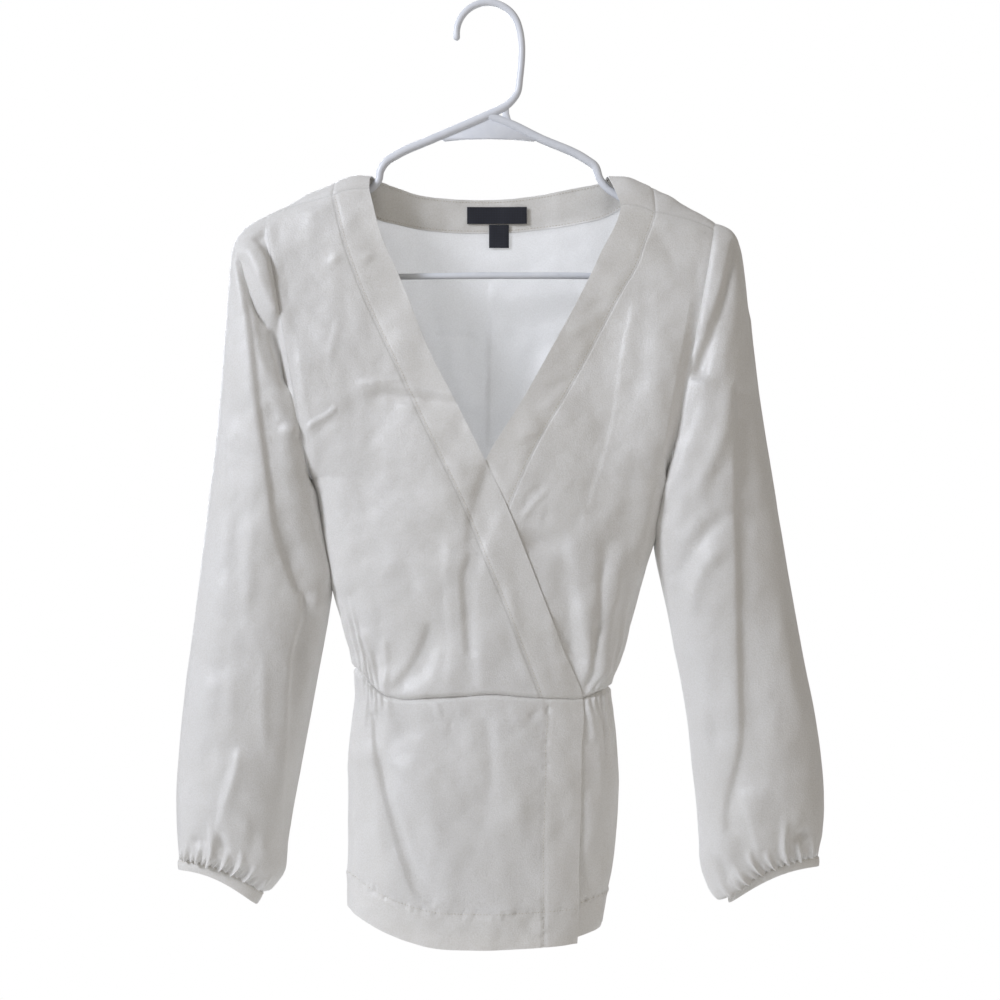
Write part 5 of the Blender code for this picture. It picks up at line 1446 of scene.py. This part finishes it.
def linear(colour):
    """The linear colour of an sRGB hex value."""
    parts = [int(colour[i:i + 2], 16) / 255 for i in (1, 3, 5)]
    return [c / 12.92 if c <= 0.04045 else ((c + 0.055) / 1.055) ** 2.4 for c in parts] + [1.0]


def add(tree, kind, inputs=None, **settings):
    """Adds a node to a tree, with its settings, and with a value or a link for each named input."""
    made = tree.nodes.new(kind)
    for name, value in settings.items():
        setattr(made, name, value)
    for name, value in (inputs or {}).items():
        if isinstance(value, bpy.types.NodeSocket):
            tree.links.new(value, made.inputs[name])
        else:
            made.inputs[name].default_value = value
    return made


def new_material(name):
    """An empty material, its tree and its shader."""
    material = bpy.data.materials.new(name)
    material.use_nodes = True
    tree = material.node_tree
    return material, tree, tree.nodes["Principled BSDF"]


def per_metre(size):
    """The scale of a pattern whose marks are a size in millimetres apart."""
    return 1 / (size * MM)


def crepe(name, colour, shade, pebble, through):
    """Satin-backed polyester crepe, woven of fine filament: its face is dense and smooth, with a
    fine dry grain from the hard-twisted yarns and a soft, wide gleam where it turns to the light.

    The grain is really 0.3 mm apart, too fine to show, and is drawn 1.2 mm apart. Its hollows are
    painted darker, as painted shade, and wide patches vary at random in tone. Thin cloth lets
    some light through, which comes out warmer.
    """
    material, tree, shader = new_material(name)
    place = add(tree, "ShaderNodeTexCoord").outputs["Object"]
    crimp = add(
        tree, "ShaderNodeTexNoise",
        {"Vector": place, "Scale": per_metre(1.2), "Detail": 2.0, "Roughness": 0.55},
    ).outputs["Fac"]
    uneven = add(
        tree, "ShaderNodeTexNoise", {"Vector": place, "Scale": per_metre(60), "Detail": 3.0}
    ).outputs["Fac"]
    # painted shade: the grain's hollows are drawn darker, towards the shade colour
    painted_hollow_shade = add(
        tree, "ShaderNodeMapRange",
        {"Value": crimp, "From Min": 0.3, "From Max": 0.7, "To Min": 0.7, "To Max": 0.0},
    ).outputs["Result"]
    patchy = add(
        tree, "ShaderNodeMapRange",
        {"Value": uneven, "From Min": 0.35, "From Max": 0.65, "To Min": 0.0, "To Max": 0.3},
    ).outputs["Result"]
    much = add(tree, "ShaderNodeMath", {0: painted_hollow_shade, 1: patchy}, operation="ADD").outputs["Value"]
    # the colour goes towards the shade colour in the grain's hollows, which is painted shade, and in
    # random wide patches, which is the cloth's own uneven tone
    mixed = add(
        tree, "ShaderNodeMix", {"Factor": much, "A": linear(colour), "B": linear(shade)},
        data_type="RGBA",
    )
    tree.links.new(mixed.outputs[2], shader.inputs["Base Color"])
    rough = add(
        tree, "ShaderNodeMapRange",
        {"Value": uneven, "From Min": 0.3, "From Max": 0.7, "To Min": 0.38, "To Max": 0.47},
    ).outputs["Result"]
    tree.links.new(rough, shader.inputs["Roughness"])
    bump = add(
        tree, "ShaderNodeBump", {"Height": crimp, "Strength": pebble, "Distance": 0.4 * MM}
    ).outputs["Normal"]
    tree.links.new(bump, shader.inputs["Normal"])
    shader.inputs["IOR"].default_value = 1.5
    shader.inputs["Sheen Weight"].default_value = 0.15
    shader.inputs["Sheen Roughness"].default_value = 0.4
    shader.inputs["Subsurface Weight"].default_value = 0.5 + 0.12 * through
    shader.inputs["Subsurface Radius"].default_value = (1.0, 0.99, 0.97)
    shader.inputs["Subsurface Scale"].default_value = through * MM
    return material


def sewing_thread():
    """Polyester sewing thread, spun from three plies: a slanting twist about 1 mm long, soft sheen."""
    material, tree, shader = new_material("spun_polyester_thread")
    place = add(tree, "ShaderNodeTexCoord").outputs["Object"]
    twist = add(
        tree, "ShaderNodeTexWave",
        {"Vector": place, "Scale": per_metre(0.5) / WAVE_PART, "Distortion": 1.5},
        bands_direction="DIAGONAL",
    ).outputs["Fac"]
    mixed = add(
        tree, "ShaderNodeMix",
        {"Factor": twist, "A": linear("#C9C4B9"), "B": linear("#E6E2D9")},
        data_type="RGBA",
    )
    tree.links.new(mixed.outputs[2], shader.inputs["Base Color"])
    bump = add(tree, "ShaderNodeBump", {"Height": twist, "Strength": 0.4, "Distance": 0.1 * MM})
    tree.links.new(bump.outputs["Normal"], shader.inputs["Normal"])
    shader.inputs["Roughness"].default_value = 0.5
    shader.inputs["Sheen Weight"].default_value = 0.2
    return material


def woven_label():
    """Damask label tape, woven of fine navy polyester: close ribs across it and a dull gleam.

    Its real threads are 0.15 mm apart. They are drawn 1.4 mm apart, so that they show.
    """
    material, tree, shader = new_material("navy_damask_tape")
    place = add(tree, "ShaderNodeTexCoord").outputs["Object"]
    ribs = [
        add(
            tree, "ShaderNodeTexWave",
            {"Vector": place, "Scale": per_metre(0.7) / WAVE_PART, "Distortion": 0.4},
            bands_direction=way,
        ).outputs["Fac"]
        for way in ("X", "Z")
    ]
    weave = add(tree, "ShaderNodeMath", {0: ribs[0], 1: ribs[1]}, operation="MULTIPLY")
    mixed = add(
        tree, "ShaderNodeMix",
        {"Factor": weave.outputs["Value"], "A": linear("#11141F"), "B": linear("#222739")},
        data_type="RGBA",
    )
    tree.links.new(mixed.outputs[2], shader.inputs["Base Color"])
    bump = add(
        tree, "ShaderNodeBump",
        {"Height": weave.outputs["Value"], "Strength": 0.5, "Distance": 0.12 * MM},
    )
    tree.links.new(bump.outputs["Normal"], shader.inputs["Normal"])
    shader.inputs["Roughness"].default_value = 0.55
    shader.inputs["Sheen Weight"].default_value = 0.3
    return material


def moulded_plastic():
    """Injection-moulded polypropylene, white with a blue brightener: satin, with a faint ripple
    from the mould and dull patches where it was handled."""
    material, tree, shader = new_material("white_polypropylene")
    place = add(tree, "ShaderNodeTexCoord").outputs["Object"]
    ripple = add(
        tree, "ShaderNodeTexNoise", {"Vector": place, "Scale": per_metre(9), "Detail": 3.0}
    ).outputs["Fac"]
    grain = add(
        tree, "ShaderNodeTexNoise", {"Vector": place, "Scale": per_metre(1.5), "Detail": 2.0}
    ).outputs["Fac"]
    mixed = add(
        tree, "ShaderNodeMix",
        {"Factor": ripple, "A": linear("#DCE0E8"), "B": linear("#EEF0F4")},
        data_type="RGBA",
    )
    tree.links.new(mixed.outputs[2], shader.inputs["Base Color"])
    rough = add(
        tree, "ShaderNodeMapRange", {"Value": grain, "To Min": 0.24, "To Max": 0.42}
    ).outputs["Result"]
    tree.links.new(rough, shader.inputs["Roughness"])
    bump = add(tree, "ShaderNodeBump", {"Height": ripple, "Strength": 0.25, "Distance": 0.5 * MM})
    tree.links.new(bump.outputs["Normal"], shader.inputs["Normal"])
    shader.inputs["IOR"].default_value = 1.49
    return material


def studio_paper():
    """A roll of pale background paper: matt, with a faint mottle."""
    material, tree, shader = new_material("background_paper")
    place = add(tree, "ShaderNodeTexCoord").outputs["Object"]
    mottle = add(
        tree, "ShaderNodeTexNoise", {"Vector": place, "Scale": per_metre(40), "Detail": 5.0}
    ).outputs["Fac"]
    mixed = add(
        tree, "ShaderNodeMix",
        {"Factor": mottle, "A": linear("#ECEBE8"), "B": linear("#F4F3F1")},
        data_type="RGBA",
    )
    tree.links.new(mixed.outputs[2], shader.inputs["Base Color"])
    shader.inputs["Roughness"].default_value = 0.9
    return material


# The studio --------------------------------------------------------------------------------------


def floor(paper):
    """A round pale floor below the hung top."""
    count = FLOOR_SIDES
    angles = np.linspace(0, 2 * math.pi, count, endpoint=False)
    rings = []
    for radius, drop in ((FLOOR_RADIUS, 0.0), (FLOOR_RADIUS - FLOOR_RIM[0], FLOOR_RIM[1])):
        ring = [np.cos(angles) * radius, np.sin(angles) * radius, np.full(count, FLOOR - drop)]
        rings.append(np.stack(ring, -1))
    faces = [tuple(range(count))] + [
        ((k + 1) % count, k, count + k, count + (k + 1) % count) for k in range(count)
    ]
    mesh = bpy.data.meshes.new("studio_floor")
    mesh.from_pydata((np.concatenate(rings) * MM).tolist(), [], faces)
    mesh.materials.append(paper)
    item = bpy.data.objects.new("studio_floor", mesh)
    bpy.context.scene.collection.objects.link(item)


def aim(item, target):
    """Turns a light to face a place."""
    way = Vector(target) - item.location
    item.rotation_euler = way.to_track_quat("-Z", "Y").to_euler()


def soft_light(name, place, target, size, watts, colour):
    """A large soft light."""
    lamp = bpy.data.lights.new(name, "AREA")
    lamp.size = size
    lamp.energy = watts
    lamp.color = linear(colour)[:3]
    item = bpy.data.objects.new(name, lamp)
    item.location = place
    aim(item, target)
    bpy.context.scene.collection.objects.link(item)


def studio():
    """White surroundings, a cool window light from the front left and a weak warm one opposite."""
    world = bpy.data.worlds.new("studio")
    world.use_nodes = True
    tree = world.node_tree
    tree.nodes.clear()
    seen = add(tree, "ShaderNodeLightPath").outputs["Is Camera Ray"]
    bright = add(tree, "ShaderNodeMapRange", {"Value": seen, "To Min": SKY, "To Max": 1.0})
    tint = add(
        tree, "ShaderNodeMix",
        {"Factor": seen, "A": linear(SKY_COLOUR), "B": linear("#FFFFFF")},
        data_type="RGBA",
    )
    white = add(
        tree, "ShaderNodeBackground",
        {"Color": tint.outputs[2], "Strength": bright.outputs["Result"]},
    )
    add(tree, "ShaderNodeOutputWorld", {"Surface": white.outputs["Background"]})
    bpy.context.scene.world = world
    for light in LIGHTS:
        soft_light(*light)
    bpy.context.scene.view_settings.view_transform = "Standard"


def camera():
    """The camera, straight in front of the top and level with its middle."""
    lens = bpy.data.cameras.new("camera")
    lens.sensor_width = CAMERA_SENSOR
    lens.lens = CAMERA_SENSOR * CAMERA_DISTANCE / CAMERA_VIEW
    item = bpy.data.objects.new("camera", lens)
    item.location = (VIEW_MIDDLE[0] * MM, -CAMERA_DISTANCE, VIEW_MIDDLE[1] * MM)
    item.rotation_euler = (math.pi / 2, 0, 0)
    bpy.context.scene.collection.objects.link(item)
    bpy.context.scene.camera = item


# The whole ---------------------------------------------------------------------------------------


def main():
    """Makes the hanger, sews the top on it, and sets up the studio."""
    outer = crepe("satin_backed_crepe", "#E9E8E6", "#DCDAD5", 0.7, 1.1)
    # the inside faces are the satin back of the crepe, and their colours are drawn a touch lighter and
    # cooler than the face's: painted light, for the inside lit through the thin cloth
    inner = crepe("inside_of_crepe_painted_light", "#ECECEB", "#E1E0DE", 0.4, 3.0)
    # the doubled cloth's colours are a touch darker than the single layer's: painted shade, for the
    # light that no longer comes through two layers
    double = crepe("doubled_crepe_painted_shade", "#E8E7E5", "#DBD9D4", 0.7, 1.1)
    thread, tape, plastic = sewing_thread(), woven_label(), moulded_plastic()
    single, twofold = (outer, inner), (double, double)

    hanger(plastic)

    bands = {"right": band_cloth(-1), "left": band_cloth(1), "back": back_band_cloth()}
    sewn_edges = {"right": ("first",), "left": ("first",), "back": ("top", "bottom")}
    for word, cloth in bands.items():
        lines = [line_beside(cloth, edge, TOPSTITCH) for edge in sewn_edges[word]]
        stitches(
            f"stitches_{word}_band", with_depth(lines, DOUBLE_WALL), thread, word == "back"
        )
    labels = []
    for name, node, spec, lift in (
        ("main_label", "label_main", LABEL_MAIN, LABEL_LIFT),
        ("size_label", "label_size", LABEL_SIZE, LABEL_LIFT + SIZE_OVER_MAIN),
    ):
        cloth = label_cloth(spec, lift)
        grids = [whole_grid(cloth["points"])]
        label = shell(name, cloth["points"], cloth["normals"], grids, cloth["thickness"], [tape])
        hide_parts(node)
        labels.append(label)

    sew("right_front", front_cloth(-1), single, "bodice_front_right")
    sew("left_front", front_cloth(1), single, "bodice_front_left")
    sew("back", back_cloth(), single, "bodice_back")
    for word, flat, area, more in (
        ("right", (0.038, 0.46), 0.0165, ()),
        ("left", (0.038, 0.46), 0.0165, ()),
        ("back", (0.034, 0.32), 0.0095, labels),
    ):
        sew(word + "_band", bands[word], twofold, "neckband_" + word)

    right_side = (-1, lambda z: side_x(-1, np.asarray(z, float)))
    left_side = (1, lambda z: side_x(1, np.asarray(z, float)))
    over_edge = (0, lambda z: smooth(LAP_EDGE, z))
    under_edge = (0, lambda z: smooth(UNDER_EDGE, z))
    peplums = (
        ("right_peplum", "peplum_front_right", -1, front_waist_x(-1), WAIST_FRONT, HEM_OVER,
         (right_side, over_edge), "peplum_right", (("over", False),), PLACKET_WIDTH, 0.042),
        ("left_peplum", "peplum_front_left", -1, front_waist_x(1), WAIST_FRONT, HEM_UNDER,
         (left_side, under_edge), "peplum_left", (("under", False),), 0.0, 0.042),
        ("back_peplum", "peplum_back", 1, back_stations(), WAIST_BACK, HEM_BACK,
         (right_side, left_side), "peplum_back", (("back", False), ("back", True)), 0.0, 0.05),
    )
    for name, node, side, top_x, waist, hem, ends, creased, gathered, placket, area in peplums:
        cloth = peplum_cloth(side, top_x, waist, hem, ends, creased, gathered, placket)
        lines = [line_beside(cloth, "bottom", HEM_WIDTH)]
        if placket:
            lines.append(line_beside(cloth, "last", placket, 2, -2))
        sewn = stitches("stitches_" + name, with_depth(lines, CREPE_WALL), thread)
        sew(name, cloth, single, node)

    for word, hand, table, hem in (
        ("right", -1, SLEEVE_RIGHT, CUFF_RIGHT), ("left", 1, SLEEVE_LEFT, CUFF_LEFT),
    ):
        sleeve = sleeve_cloth(hand, table, "sleeve_" + word)
        sew(word + "_sleeve", sleeve, single, "sleeve_" + word)
        cuff = cuff_cloth(table[-1], hem)
        line = line_beside(cuff, "top", CUFF_TOPSTITCH)
        sewn = stitches(f"stitches_{word}_cuff", with_depth([line], CUFF_WALL), thread)
        sew(word + "_cuff", cuff, twofold, "cuff_" + word)

    floor(studio_paper())
    studio()
    camera()
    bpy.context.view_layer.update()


main()
